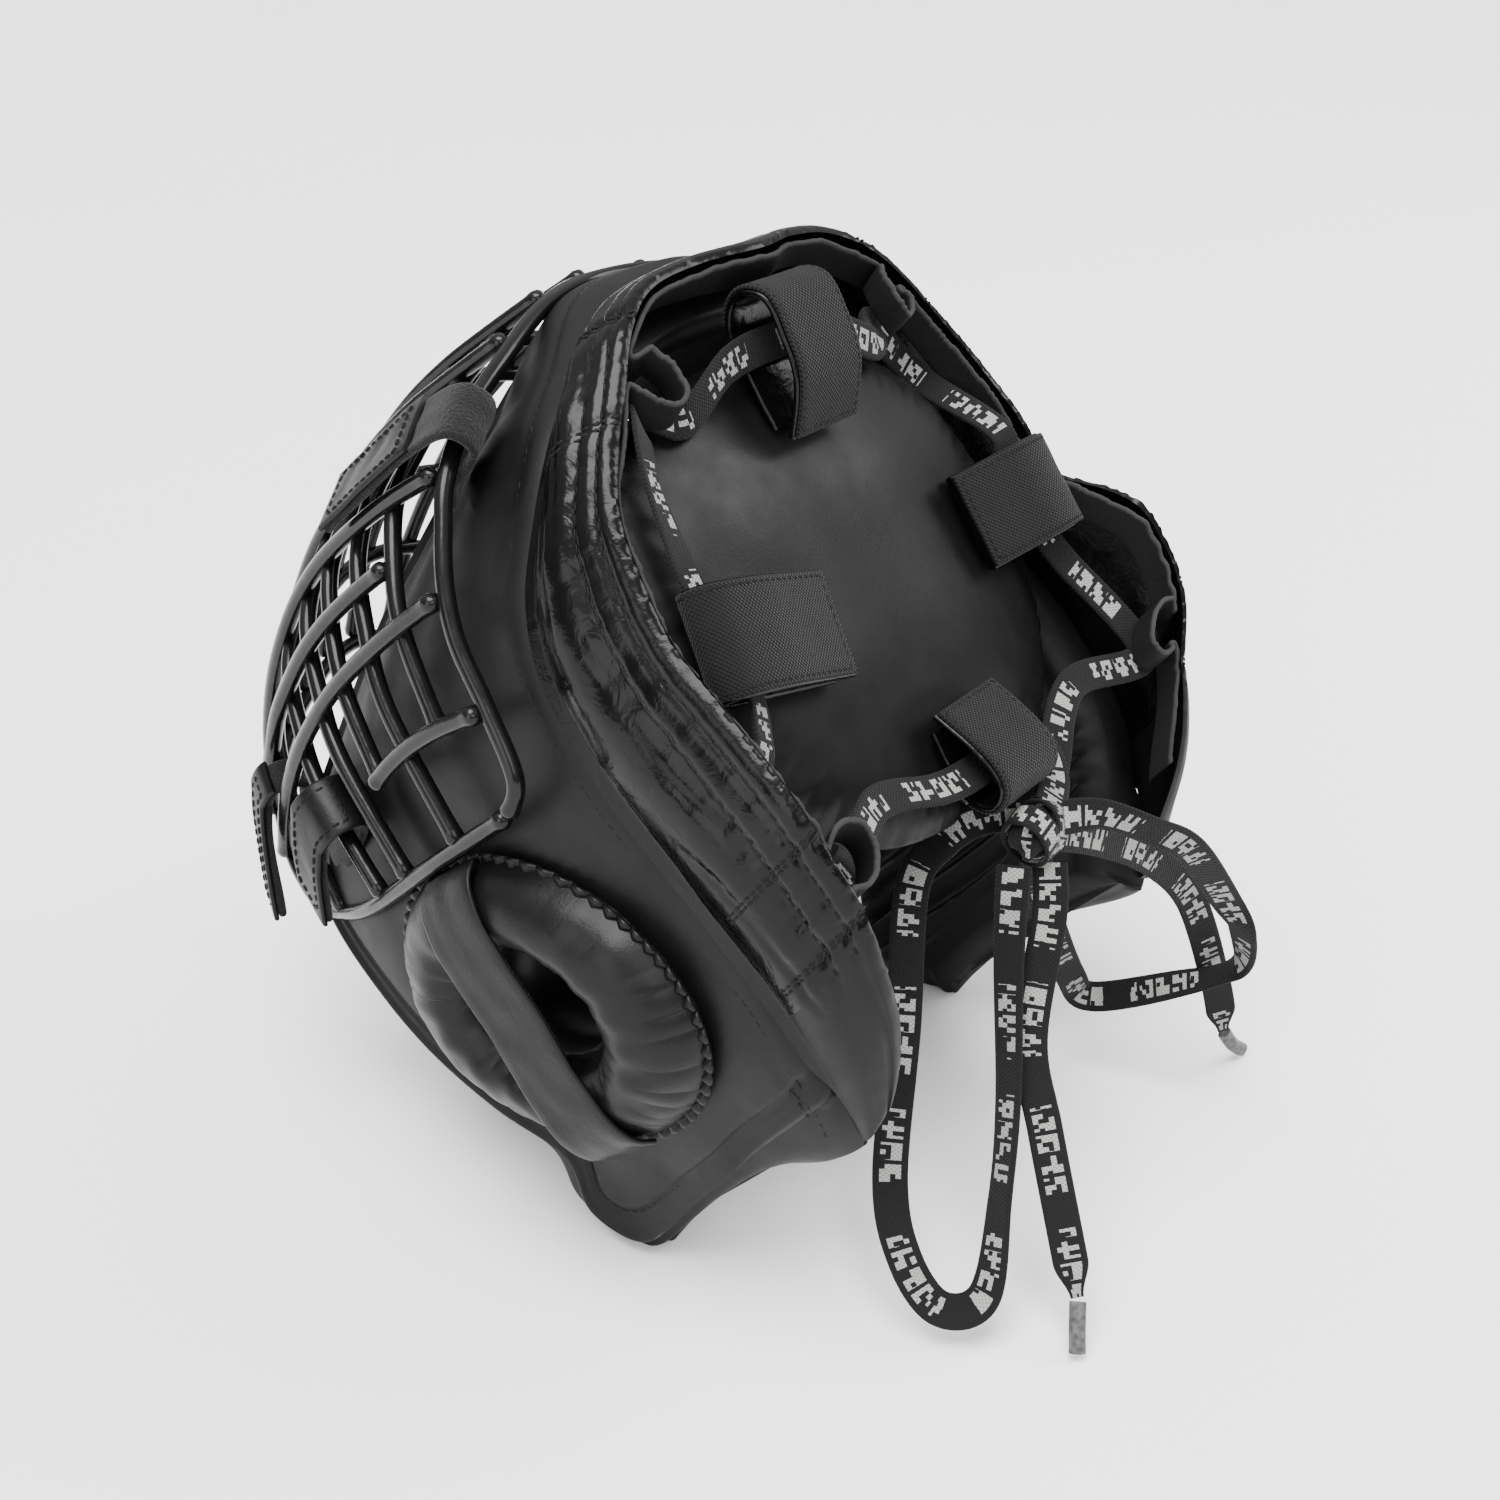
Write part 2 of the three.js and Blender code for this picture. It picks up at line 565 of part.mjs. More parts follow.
function makeCrownPad() {
  const profile = [
    { reach: 0.25, out: 7.8 },
    { reach: 0.6, out: 6.5 },
    { reach: 0.85, out: 3.8 },
    { reach: 1.0, out: -3 },
    { reach: 0.95, out: -7 },
    { reach: 0.7, out: -8 },
    { reach: 0.25, out: -8 },
  ];
  const squareness = 0.82;
  const steps = 28;
  return loft(profile.map(({ reach, out }) => {
    const ring = [];
    for (let i = 0; i < steps; i += 1) {
      const angle = (i / steps) * 2 * Math.PI;
      const across = Math.sign(Math.sin(angle)) * Math.abs(Math.sin(angle)) ** squareness;
      const along = Math.sign(Math.cos(angle)) * Math.abs(Math.cos(angle)) ** squareness;
      ring.push(padPoint(PAD_HALF_WIDTH * reach * across, PAD_HALF_LENGTH * reach * along, out));
    }
    return ring;
  }));
}

// Hook-and-loop tab: from its root on the pad out under the lace, round it and back to its free end.
// Along is measured outwards from the pad's middle.
function makeTab({ start, rest, fold, lift, curl, left, ahead }) {
  const span = fold - start;
  const path = bend([
    [start, rest + 1.4], [start + 0.4 * span, rest + 1.4], [fold - 0.2 * span, rest + 1.9],
    [fold, rest + 3.6 + lift * 0.35], [fold + 1.5, rest + 7 + lift * 0.7], [fold - 0.1 * span, rest + 10.5 + lift],
    [fold - 0.4 * span, rest + 10.5 + lift], [start + 0.25 * span, rest + 8 + lift * curl], [start - 4, rest + 5.4],
  ], 16);
  const outward = PAD_LEFT.clone().multiplyScalar(left).addScaledVector(PAD_AHEAD, ahead).normalize();
  return strap(path, TAB_THICKNESS, TAB_WIDTH, padPoint(0, 0, 0), outward, PAD_OUT);
}

// A place on the ear's oval seen from the side: share of its size, and angle from its long axis.
function earPlace(reach, angle) {
  const long = EAR_RING_LONG * reach * Math.cos(angle);
  const short = EAR_RING_SHORT * reach * Math.sin(angle);
  return {
    forward: EAR_FORWARD + long * Math.cos(EAR_RING_TURN) - short * Math.sin(EAR_RING_TURN),
    up: EAR_UP + long * Math.sin(EAR_RING_TURN) + short * Math.cos(EAR_RING_TURN),
  };
}

// Padded ear ring on the cover: a domed section carried round, drawn in at each gather.
function makeEarRing(side) {
  const section = [
    { share: 0.0, out: 0.02 },
    { share: 0.03, out: 0.55 },
    { share: 0.32, out: 1.0 },
    { share: 0.78, out: 0.72 },
    { share: 0.97, out: 0.28 },
    { share: 1.0, out: 0.02 },
  ];
  const rings = [];
  for (let i = 0; i < 2 * EAR_GATHERS; i += 1) {
    const angle = (i / (2 * EAR_GATHERS)) * 2 * Math.PI;
    const gathered = i % 2 === 0 ? 1 : 0.9;
    rings.push(section.map(({ share, out }) => {
      const reach = THREE.MathUtils.lerp(EAR_RING_INNER, 1, share);
      const proud = SEAT_GAP + 0.3 + EAR_RING_HEIGHT * out * gathered;
      const place = earPlace(reach, angle);
      return sidePoint(place.forward, place.up, proud).multiply(new THREE.Vector3(side, 1, 1));
    }));
  }
  return loft(rings, true);
}

// Leather strap over the ear ring, sewn to its outer seam at both ends.
function makeEarStrap(side) {
  const path = bend([
    [-43, 1.6], [-40, 6.4], [-34, 10.4], [-26, 12], [-13, 13], [0, 13],
    [14, 14.2], [24, 14.5], [32, 13.2], [37, 10.6], [40, 6.6],
  ], 16);
  const cover = sidePoint(EAR_FORWARD, EAR_UP);
  const along = wear(0, Math.cos(EAR_STRAP_ANGLE), Math.sin(EAR_STRAP_ANGLE));
  const origin = cover.multiply(new THREE.Vector3(side, 1, 1));
  return strap(path, 1.6, EAR_STRAP_WIDTH, origin, along, wear(side, 0, 0));
}

// A point of the grille's surface.
function grillePoint(plan, up, proud = 0) {
  const level = rowOf(GRILLE_LEVELS, 'up', up);
  const across = Math.sign(plan) * readAt(GRILLE_PLAN, 'across', Math.abs(plan), -1);
  const ahead = readAt(GRILLE_PLAN, 'ahead', Math.abs(plan), 1);
  const halfWidth = readAt(GRILLE_LEVELS, 'halfWidth', level) + proud;
  const front = readAt(GRILLE_LEVELS, 'front', level) + proud;
  return wear(halfWidth * across, GRILLE_MIDDLE + (front - GRILLE_MIDDLE) * ahead, up);
}

// Round wire along points.
function wire(points, steps) {
  const outline = [];
  for (let i = 0; i < WIRE_SIDES; i += 1) {
    const angle = (i / WIRE_SIDES) * 2 * Math.PI;
    outline.push(new THREE.Vector2(WIRE_RADIUS * Math.cos(angle), WIRE_RADIUS * Math.sin(angle)));
  }
  const extrudePath = new THREE.CatmullRomCurve3(points);
  return new THREE.ExtrudeGeometry(new THREE.Shape(outline), { steps, extrudePath });
}

// Rows of a rim wire from the right end round to the left one.
function bothSides(rows) {
  const right = rows.slice(1).reverse().map(({ plan, up }) => grillePoint(-plan, up));
  return [...right, ...rows.map(({ plan, up }) => grillePoint(plan, up))];
}

function makeGrille() {
  const wires = [wire(bothSides(BROW_WIRE), 24), wire(bothSides(JAW_WIRE), 24)];
  for (const { middleUp, endUp, endPlan } of CROSS_WIRES) {
    const rows = [0, 0.25, 0.5, 0.75, 1].map((share) => ({
      plan: endPlan * share,
      up: THREE.MathUtils.lerp(middleUp, endUp, share * share),
    }));
    wires.push(wire(bothSides(rows), 8));
  }
  const shares = [0, 0.2, 0.4, 0.6, 0.8, 1];
  wires.push(wire(shares.map((share) => grillePoint(0, THREE.MathUtils.lerp(76.5, -93, share), WIRE_LAYER)), 8));
  for (const { topPlan, topUp, bottomPlan, bottomUp } of UPRIGHT_WIRES) {
    for (const side of [-1, 1]) {
      const points = shares.map((share) => {
        const plan = bottomPlan + (topPlan - bottomPlan) * (1 - share) ** 2;
        return grillePoint(side * plan, THREE.MathUtils.lerp(topUp, bottomUp, share), WIRE_LAYER);
      });
      wires.push(wire(points, 4));
    }
  }
  return fromSolid(wires.map(toSolid).reduce((whole, next) => whole.add(next)));
}

// Strap that grips a wire: from its root by the padding, past the wire on the inside, round it and back over
// the outside of the grille to its free end.
function makeGrip(side, { plan, up, skew, length, width, slack, rootAlong, rootIn }) {
  const step = 0.2;
  const place = grillePoint(side * plan, up);
  const onward = grillePoint(side * (plan + step), up).sub(grillePoint(side * (plan - step), up));
  const down = grillePoint(side * plan, up - 10 * step).sub(grillePoint(side * plan, up + 10 * step)).normalize();
  const out = new THREE.Vector3().crossVectors(onward, down).multiplyScalar(-side).normalize();
  const path = bend([
    [rootAlong, -rootIn], [rootAlong * 0.55, -6], [3 - slack, -5.2], [-3.2 - slack, -3.2],
    [-4.6 - slack, 1.2], [-2 - slack, 5.4], [5, 7.4], [length * 0.55, 7.6], [length, 7.2],
  ], 16);
  return strap(path, GRIP_THICKNESS, width, place, down, out, -side * skew);
}

// Chin strap: a level loop from one cheek's lining under the chin to the other, flat where it stands.
function makeChinStrap() {
  const rising = bend([[CHIN_STRAP_FLAT, 0], [42, 6], [58, 22], [64, 42], [65.5, 60]], 9);
  const path = [...rising.map(({ x, y }) => new THREE.Vector2(-x, y)).reverse(), ...rising];
  const origin = new THREE.Vector3(0, FOOTPRINT_SHIFT + CHIN_STRAP_BACK, 0);
  const up = new THREE.Vector3(0, 0, 1);
  const sole = strap(path, CHIN_STRAP_THICKNESS, CHIN_STRAP_WIDTH, origin, new THREE.Vector3(1, 0, 0), up);
  sole.computeBoundingBox();
  return sole.translate(0, 0, -sole.boundingBox.min.z);
}

// Lace as a round cord along points.
function cord(points, radius, steps) {
  const outline = [];
  for (let i = 0; i < CORD_SIDES; i += 1) {
    const angle = (i / CORD_SIDES) * 2 * Math.PI;
    outline.push(new THREE.Vector2(radius * Math.cos(angle), radius * Math.sin(angle)));
  }
  const extrudePath = new THREE.CatmullRomCurve3(points);
  return new THREE.ExtrudeGeometry(new THREE.Shape(outline), { steps, extrudePath });
}

// Lace round the crown: from the knot through the back tab and under the loops and the other tabs.
function makeCrownLace() {
  const underLoop = (station, drop) => bandPoint(station, 1, 12).add(new THREE.Vector3(0, 0, -drop));
  const along = (station) => bandPoint(station, 1, 9).add(new THREE.Vector3(0, 0, -15));
  return cord([
    wear(-6.3, -57, 70), padPoint(-18.5, -69, 13), padPoint(-22, -61, 12), padPoint(-17, -55.8, 12.2),
    padPoint(10, -55.5, 12),
    padPoint(24, -54, 11), padPoint(48, -48, 11), underLoop(LACE_LOOPS[1].station, 11), padPoint(72, -20, 13),
    padPoint(71, -9, 12.6), padPoint(71, 9, 12.6), padPoint(72, 20, 13), along(5.2),
    underLoop(LACE_LOOPS[0].station, 14), padPoint(42, 55, 7.5), padPoint(22, 63, 11), padPoint(0, 64.5, 11.6),
    padPoint(-22, 63, 11), padPoint(-42, 55, 7.5), underLoop(-LACE_LOOPS[0].station, 14), along(-5.2),
    padPoint(-68, 20, 13), padPoint(-66.5, 9, 12.4), padPoint(-66.5, -9, 12.4), padPoint(-68, -20, 13),
    underLoop(-LACE_LOOPS[1].station, 11), padPoint(-48, -52, 11), padPoint(-26, -66, 10), wear(-7.6, -61.5, 63.4),
  ], CORD_RADIUS, 34);
}

// The scene graph: every sub-part is a named mesh in the leaned group.
const headgear = new THREE.Group();
const worn = new THREE.Group();
worn.rotation.x = -LEAN;
worn.position.set(0, FOOTPRINT_SHIFT, EAR_HEIGHT);
headgear.add(worn);

function addPiece(name, geometry, finish, parent = worn) {
  const mesh = new THREE.Mesh(geometry, new THREE.MeshStandardMaterial(COLOURS[finish]));
  mesh.name = name;
  parent.add(mesh);
}

addPiece('padded_shell', makeShell(), 'leather');
addPiece('crown_band', makeBand(), 'glossLeather');
addPiece('lace_strip', makeLaceStrip(), 'strip');
addPiece('crown_pad', makeCrownPad(), 'leather');
addPiece('face_grille', makeGrille(), 'wire');
addPiece('chin_strap', makeChinStrap(), 'leather', headgear);
addPiece('crown_lace', makeCrownLace(), 'lace');
const knot = new THREE.SphereGeometry(1, 12, 8);
knot.scale(KNOT_RADII.x, KNOT_RADII.y, KNOT_RADII.z);
knot.translate(KNOT.x, KNOT.y + FOOTPRINT_SHIFT, KNOT.z);
addPiece('lace_knot', knot, 'lace', headgear);
const standing = ([across, back, up]) => new THREE.Vector3(across, back + FOOTPRINT_SHIFT, up);
for (const [name, route] of Object.entries(BOW_ROUTES)) {
  addPiece(name, cord(route.map(standing), CORD_RADIUS, route.length > 8 ? 20 : 9), 'lace', headgear);
}
for (const [name, route] of Object.entries(LACE_TIPS)) {
  addPiece(name, cord(route.map(standing), TIP_RADIUS, 2), 'tip', headgear);
}
for (const [word, side] of [['left', 1], ['right', -1]]) {
  for (const grip of GRIPS) {
    addPiece(`grille_strap_${grip.name}_${word}`, makeGrip(side, grip), 'webbing');
  }
  addPiece(`ear_ring_${word}`, makeEarRing(side), 'leather');
  addPiece(`ear_strap_${word}`, makeEarStrap(side), 'leather');
}
const TABS = [
  { name: 'front', start: 44, rest: 6.1, fold: 76, lift: 7, curl: 1, left: 0, ahead: 1 },
  { name: 'left', start: 36, rest: 7.2, fold: 78, lift: 0, curl: 0, left: 1, ahead: 0 },
  { name: 'right', start: 42, rest: 6.9, fold: 74, lift: 4, curl: 0.6, left: -1, ahead: 0 },
  { name: 'back', start: 42, rest: 6.4, fold: 64, lift: 3, curl: 0.8, left: 0, ahead: -1 },
];
for (const tab of TABS) {
  addPiece(`crown_tab_${tab.name}`, makeTab(tab), 'webbing');
}

export default headgear;
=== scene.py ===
"""Looks of a boxing headgear with a wire face grille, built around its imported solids.

Shapes are worked out in millimetres. Most are in the wearer's axes, left, forward and up, from the point midway
between the ears, and are then leaned back on to the floor. Meshes are in metres, in the frame of the solids.
"""

import json
import logging
import math
from collections.abc import Callable
from dataclasses import dataclass, field
from enum import Enum

import bpy
import numpy as np
from mathutils import Matrix

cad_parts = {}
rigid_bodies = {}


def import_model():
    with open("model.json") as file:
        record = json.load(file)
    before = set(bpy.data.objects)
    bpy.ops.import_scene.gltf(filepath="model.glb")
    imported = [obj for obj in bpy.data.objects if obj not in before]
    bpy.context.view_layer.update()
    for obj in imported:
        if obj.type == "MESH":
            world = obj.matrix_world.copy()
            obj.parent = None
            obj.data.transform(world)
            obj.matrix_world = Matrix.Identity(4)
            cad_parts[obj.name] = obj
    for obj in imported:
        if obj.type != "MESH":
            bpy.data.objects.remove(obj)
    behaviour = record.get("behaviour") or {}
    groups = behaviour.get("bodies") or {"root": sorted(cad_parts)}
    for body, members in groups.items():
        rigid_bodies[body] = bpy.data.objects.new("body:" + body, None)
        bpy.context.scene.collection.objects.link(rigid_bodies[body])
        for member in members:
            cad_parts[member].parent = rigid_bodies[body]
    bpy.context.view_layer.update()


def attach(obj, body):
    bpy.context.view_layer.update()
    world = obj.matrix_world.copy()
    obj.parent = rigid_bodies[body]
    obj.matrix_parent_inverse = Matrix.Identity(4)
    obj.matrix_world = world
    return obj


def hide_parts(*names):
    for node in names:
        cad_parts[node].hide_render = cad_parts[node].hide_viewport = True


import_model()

LOG = logging.getLogger("headgear")
Array = np.ndarray
Colour = tuple[float, float, float]
Socket = bpy.types.NodeSocket
BODY = "root"

# The pose on the floor: the lean about the left axis, the ears' height and the shift to the back
LEAN = math.radians(36.93)
EAR_HEIGHT = 96.9
FOOTPRINT_SHIFT = 35.0
# Room between sewn pieces and the wall
SEAT_GAP = 0.35
# Stations of the strip's front and rear loops for the lace
FRONT_LOOP, REAR_LOOP = 3.5, 12.4
# Direction from the headgear to the camera
TO_CAMERA = (0.7223, 0.5261, 0.4489)
METRES = 0.001
FULL_TURN = 2 * np.pi


class Side(Enum):
    """The wearer's two sides, as the sign of the left axis."""

    LEFT = 1
    RIGHT = -1

    @property
    def word(self) -> str:
        """The side's name in a piece's name."""
        return self.name.lower()


# Small mathematics on whole arrays


def hermite(values: Array, at: Array, parity: int = 0) -> Array:
    """Reads a column smoothly at fractional rows, by a cubic through neighbouring rows.

    Args:
        values: the column, one value a row.
        at: fractional row numbers.
        parity: what lies before the first row: 1 its mirror, -1 its mirror with the sign turned, 0 the row again.

    Returns:
        The readings, in the shape of at.
    """
    column = np.asarray(values, float)
    t = np.clip(at, 0, len(column) - 1)
    row = np.minimum(np.floor(t).astype(int), len(column) - 2)
    w = t - row
    b, c = column[row], column[row + 1]
    a = np.where(row > 0, column[np.maximum(row - 1, 0)], b if parity == 0 else parity * c)
    d = np.where(row + 2 < len(column), column[np.minimum(row + 2, len(column) - 1)], c)
    start, end = (c - a) / 2, (d - b) / 2
    return (b * (2 * w**3 - 3 * w**2 + 1) + start * (w**3 - 2 * w**2 + w)
            + c * (3 * w**2 - 2 * w**3) + end * (w**3 - w**2))


def smooth_path(points: Array, steps: int) -> Array:
    """A smooth path through a few points.

    Args:
        points: the points, one a row, of any number of columns.
        steps: number of points on the path.

    Returns:
        The path, steps rows long.
    """
    knots = np.asarray(points, float)
    at = np.linspace(0, len(knots) - 1, steps)
    return np.stack([hermite(knots[:, k], at) for k in range(knots.shape[1])], -1)


def unit(vectors: Array) -> Array:
    """Vectors brought to length one."""
    return vectors / np.maximum(np.linalg.norm(vectors, axis=-1, keepdims=True), 1e-9)


def step_up(x: Array) -> Array:
    """A smooth rise from 0 to 1 as x goes from 0 to 1."""
    x = np.clip(x, 0, 1)
    return x * x * (3 - 2 * x)


def ridge(x: Array, width: float) -> Array:
    """A bell of height 1 about 0, with the given half width."""
    return np.exp(-(x / width) ** 2)


def ripple(u: Array, v: Array, seed: int, waves: int = 7) -> Array:
    """Soft seeded unevenness: the mean of cosine waves in many directions over two parameters.

    Args:
        u: first parameter, in wavelengths.
        v: second parameter, in wavelengths.
        seed: which unevenness.
        waves: number of waves.

    Returns:
        Values of about -1 to 1.
    """
    rng = np.random.default_rng(seed)
    turns, sizes, phases = (rng.uniform(low, high, waves) for low, high in ((0, np.pi), (0.6, 1.7), (0, 6.28)))
    total = np.zeros(np.broadcast(u, v).shape)
    for turn, size, phase in zip(turns, sizes, phases):
        total += np.cos(FULL_TURN * size * (u * np.cos(turn) + v * np.sin(turn)) + phase)
    return total / math.sqrt(waves)


def round_angles(count: int) -> Array:
    """Even angles of a full turn, the end left out."""
    return np.arange(count) / count * FULL_TURN


def halve(low: Array, high: Array, holds: Callable[[Array], Array], rounds: int = 24) -> Array:
    """Finds where a test stops holding, by halving spans.

    Args:
        low: starts of the spans, where the test holds.
        high: their ends, where it doesn't.
        holds: the test.
        rounds: number of halvings.

    Returns:
        The last places where it holds.
    """
    for _ in range(rounds):
        middle = (low + high) / 2
        near = holds(middle)
        low, high = np.where(near, middle, low), np.where(near, high, middle)
    return low


def run_length(path: Array) -> Array:
    """Distance along a path up to each of its points."""
    return np.concatenate([[0.0], np.cumsum(np.linalg.norm(np.diff(path, axis=0), axis=1))])


def read_at(at: Array, length: Array, rows: Array) -> Array:
    """Rows read at distances along a path, column by column."""
    return np.stack([np.interp(at, length, rows[:, k]) for k in range(rows.shape[1])], -1)


def evenly(path: Array, pitch: float, *extras: Array) -> list[Array]:
    """Points at even distances along a path, with other columns read at the same places.

    Args:
        path: the path's points.
        pitch: distance between readings.
        extras: arrays with one row for each point of the path.

    Returns:
        The points, then each extra.
    """
    length = run_length(path)
    at = np.linspace(0, length[-1], max(int(length[-1] / pitch), 2))
    return [read_at(at, length, rows) for rows in (path, *extras)]


def stand(points: Array) -> Array:
    """Leans points of the wearer's axes back on to the floor: a turn about the left axis, then a lift and a shift."""
    left, forward, up = np.moveaxis(points, -1, 0)
    back = math.sin(LEAN) * up - math.cos(LEAN) * forward + FOOTPRINT_SHIFT
    height = math.sin(LEAN) * forward + math.cos(LEAN) * up + EAR_HEIGHT
    return np.stack([left, back, height], -1)


def stand_along(vectors: Array) -> Array:
    """Directions of the wearer's axes leaned back in the same way."""
    return stand(vectors) - stand(np.zeros(3))


def flat_section(width: float, thickness: float, across: int = 9) -> Array:
    """Outline of a flat band: a long rectangle with round edges.

    Args:
        width: the band's width.
        thickness: its thickness.
        across: points on each face.

    Returns:
        Points of (across, out), counter-clockwise.
    """
    r = thickness / 2
    face = np.linspace(width / 2 - r, -(width / 2 - r), across)
    bend = np.linspace(np.pi / 2, 3 * np.pi / 2, 6)[1:-1]
    top = np.stack([face, np.full(across, r)], -1)
    left = np.stack([-(width / 2 - r) + r * np.cos(bend), r * np.sin(bend)], -1)
    return np.concatenate([top, left, -top, -left])


def ring_marks(section: Array) -> Array:
    """Marks across a closed outline for the UV map, the first one again at the end."""
    return np.append(section[:, 0], section[0, 0])


# Meshes


def grid_faces(grid: Array, joined: bool = False) -> tuple[Array, Array, Array, int]:
    """Four-sided faces of a grid of points whose second parameter goes round.

    Args:
        grid: points, (along, round, 3).
        joined: whether the first parameter goes round too.

    Returns:
        The faces' corners as numbers of points, their rows and columns, and the way round that makes the faces point
        outwards, by the sign of the volume: 1 or -1.
    """
    nu, nv = grid.shape[:2]
    i, j = np.meshgrid(np.arange(nu if joined else nu - 1), np.arange(nv), indexing="ij")
    row = np.stack([i, i + 1, i + 1, i], -1).reshape(-1, 4)
    column = np.stack([j, j, j + 1, j + 1], -1).reshape(-1, 4)
    faces = row % nu * nv + column % nv
    points = grid.reshape(-1, 3)
    a, b, c, d = (points[faces[:, k]] - points.mean(0) for k in range(4))
    volume = np.einsum("ij,ij->", a, np.cross(b, c) + np.cross(c, d))
    return faces, row, column, -1 if volume < 0 else 1


@dataclass
class Patchwork:
    """Collects closed surfaces, each a grid of points, into one mesh."""

    points: list[Array] = field(default_factory=list)
    corners: list[Array] = field(default_factory=list)
    sizes: list[Array] = field(default_factory=list)
    marks: list[Array] = field(default_factory=list)
    looks: list[Array] = field(default_factory=list)
    count: int = 0

    def add(self, grid: Array, along: Array | None = None, across: Array | None = None, joined: bool = False,
            look: int | Array = 0) -> None:
        """Adds a surface whose second parameter goes round, with flat ends unless its first one goes round too.

        Args:
            grid: points in millimetres, (along, round, 3).
            along: marks of the first parameter for the UV map, one more than the grid's where it goes round.
            across: marks of the second parameter for the UV map, one more than the grid's.
            joined: whether the first parameter goes round.
            look: number of the piece's material, one for all or one for each step along.
        """
        nu, nv = grid.shape[:2]
        if along is None:
            middle = grid.mean(1)
            along = run_length(np.concatenate([middle, middle[:1]]) if joined else middle)
        if across is None:
            ring = grid[nu // 2]
            across = run_length(np.concatenate([ring, ring[:1]]))
        faces, row, column, turn = grid_faces(grid, joined)
        uv = np.stack([along[row], across[column]], -1)
        self.points.append(grid.reshape(-1, 3))
        self.corners.append(faces[:, ::turn].ravel() + self.count)
        self.sizes.append(np.full(len(faces), 4))
        self.marks.append(uv[:, ::turn].reshape(-1, 2))
        looks = np.broadcast_to(look, nu if joined else nu - 1)
        self.looks.append(np.repeat(looks, nv))
        if not joined:
            for ring, way in ((0, 1), (nu - 1, -1)):
                order = np.arange(nv)[::way * turn]
                self.corners.append(ring * nv + order + self.count)
                self.sizes.append(np.array([nv]))
                self.marks.append(np.stack([np.full(nv, along[ring]), across[order]], -1))
            self.looks.append(looks[[0, -1]])
        self.count += nu * nv

    def build(self, name: str, *materials: bpy.types.Material, crease: float = 55.0) -> bpy.types.Object:
        """Makes the mesh object, at the origin, in metres.

        Args:
            name: the piece's name.
            materials: its materials, in the order of the looks.
            crease: angle in degrees above which an edge is sharp.

        Returns:
            The object.
        """
        corners, sizes = np.concatenate(self.corners), np.concatenate(self.sizes)
        mesh = bpy.data.meshes.new(name)
        mesh.vertices.add(self.count)
        mesh.vertices.foreach_set("co", (np.concatenate(self.points) * METRES).ravel())
        mesh.loops.add(len(corners))
        mesh.loops.foreach_set("vertex_index", corners)
        mesh.polygons.add(len(sizes))
        mesh.polygons.foreach_set("loop_start", np.concatenate([[0], np.cumsum(sizes)[:-1]]))
        mesh.update(calc_edges=True)
        mesh.polygons.foreach_set("material_index", np.concatenate(self.looks))
        mesh.polygons.foreach_set("use_smooth", np.ones(len(sizes), bool))
        layer = mesh.uv_layers.new(name="surface")
        layer.data.foreach_set("uv", np.concatenate(self.marks).ravel())
        mesh.update()
        mesh.set_sharp_from_angle(angle=math.radians(crease))
        for material in materials:
            mesh.materials.append(material)
        piece = bpy.data.objects.new(name, mesh)
        bpy.context.scene.collection.objects.link(piece)
        return piece

    def sweep(self, path: Array, section: Array, hint: Array, joined: bool = False, look: int = 0,
              swell: Array | None = None) -> None:
        """Carries a flat outline along a path, its out direction kept near a hint.

        Args:
            path: points in millimetres.
            section: outline of (across, out).
            hint: one direction, or one for each point of the path.
            joined: whether the path closes on itself.
            look: number of the piece's material.
            swell: size of the outline at each point of the path, 1 where left out.
        """
        if joined:
            ahead = unit(np.roll(path, -1, 0) - np.roll(path, 1, 0))
        else:
            ahead = unit(np.gradient(path, axis=0))
        side = unit(np.cross(ahead, np.broadcast_to(hint, path.shape)))
        out = np.cross(side, ahead)
        size = np.ones(len(path)) if swell is None else swell
        shape = section[None] * size[:, None, None]
        grid = path[:, None] + shape[..., :1] * side[:, None] + shape[..., 1:] * out[:, None]
        self.add(grid, across=ring_marks(section), joined=joined, look=look)

    def sew(self, line: Array, normals: Array, pitch: float = 3.2, length: float = 2.5, radius: float = 0.42,
            sunk: float = 0.1, look: int = 0) -> None:
        """Lays a row of stitches along a line: each a short rounded bar of six sides, tapered at its ends.

        Args:
            line: the row's points in millimetres.
            normals: directions out of the surface there.
            pitch: distance from stitch to stitch.
            length: a stitch's length.
            radius: its half thickness.
            sunk: how far its middle lies below the line.
            look: number of the piece's material.
        """
        centres, out = evenly(line, pitch, normals)
        ahead = unit(np.gradient(centres, axis=0))
        out = unit(out)
        side = unit(np.cross(ahead, out))
        centres = centres - sunk * out
        angle = round_angles(6)
        share, size = np.array([(-0.5, 0.35), (-0.3, 0.9), (0.3, 0.9), (0.5, 0.35)]).T
        reach = share[None, :, None, None] * length * ahead[:, None, None]
        around = (np.cos(angle)[:, None] * side[:, None] + np.sin(angle)[:, None] * out[:, None])[:, None]
        self.add_many(centres[:, None, None] + reach + around * (radius * size)[None, :, None, None], look)

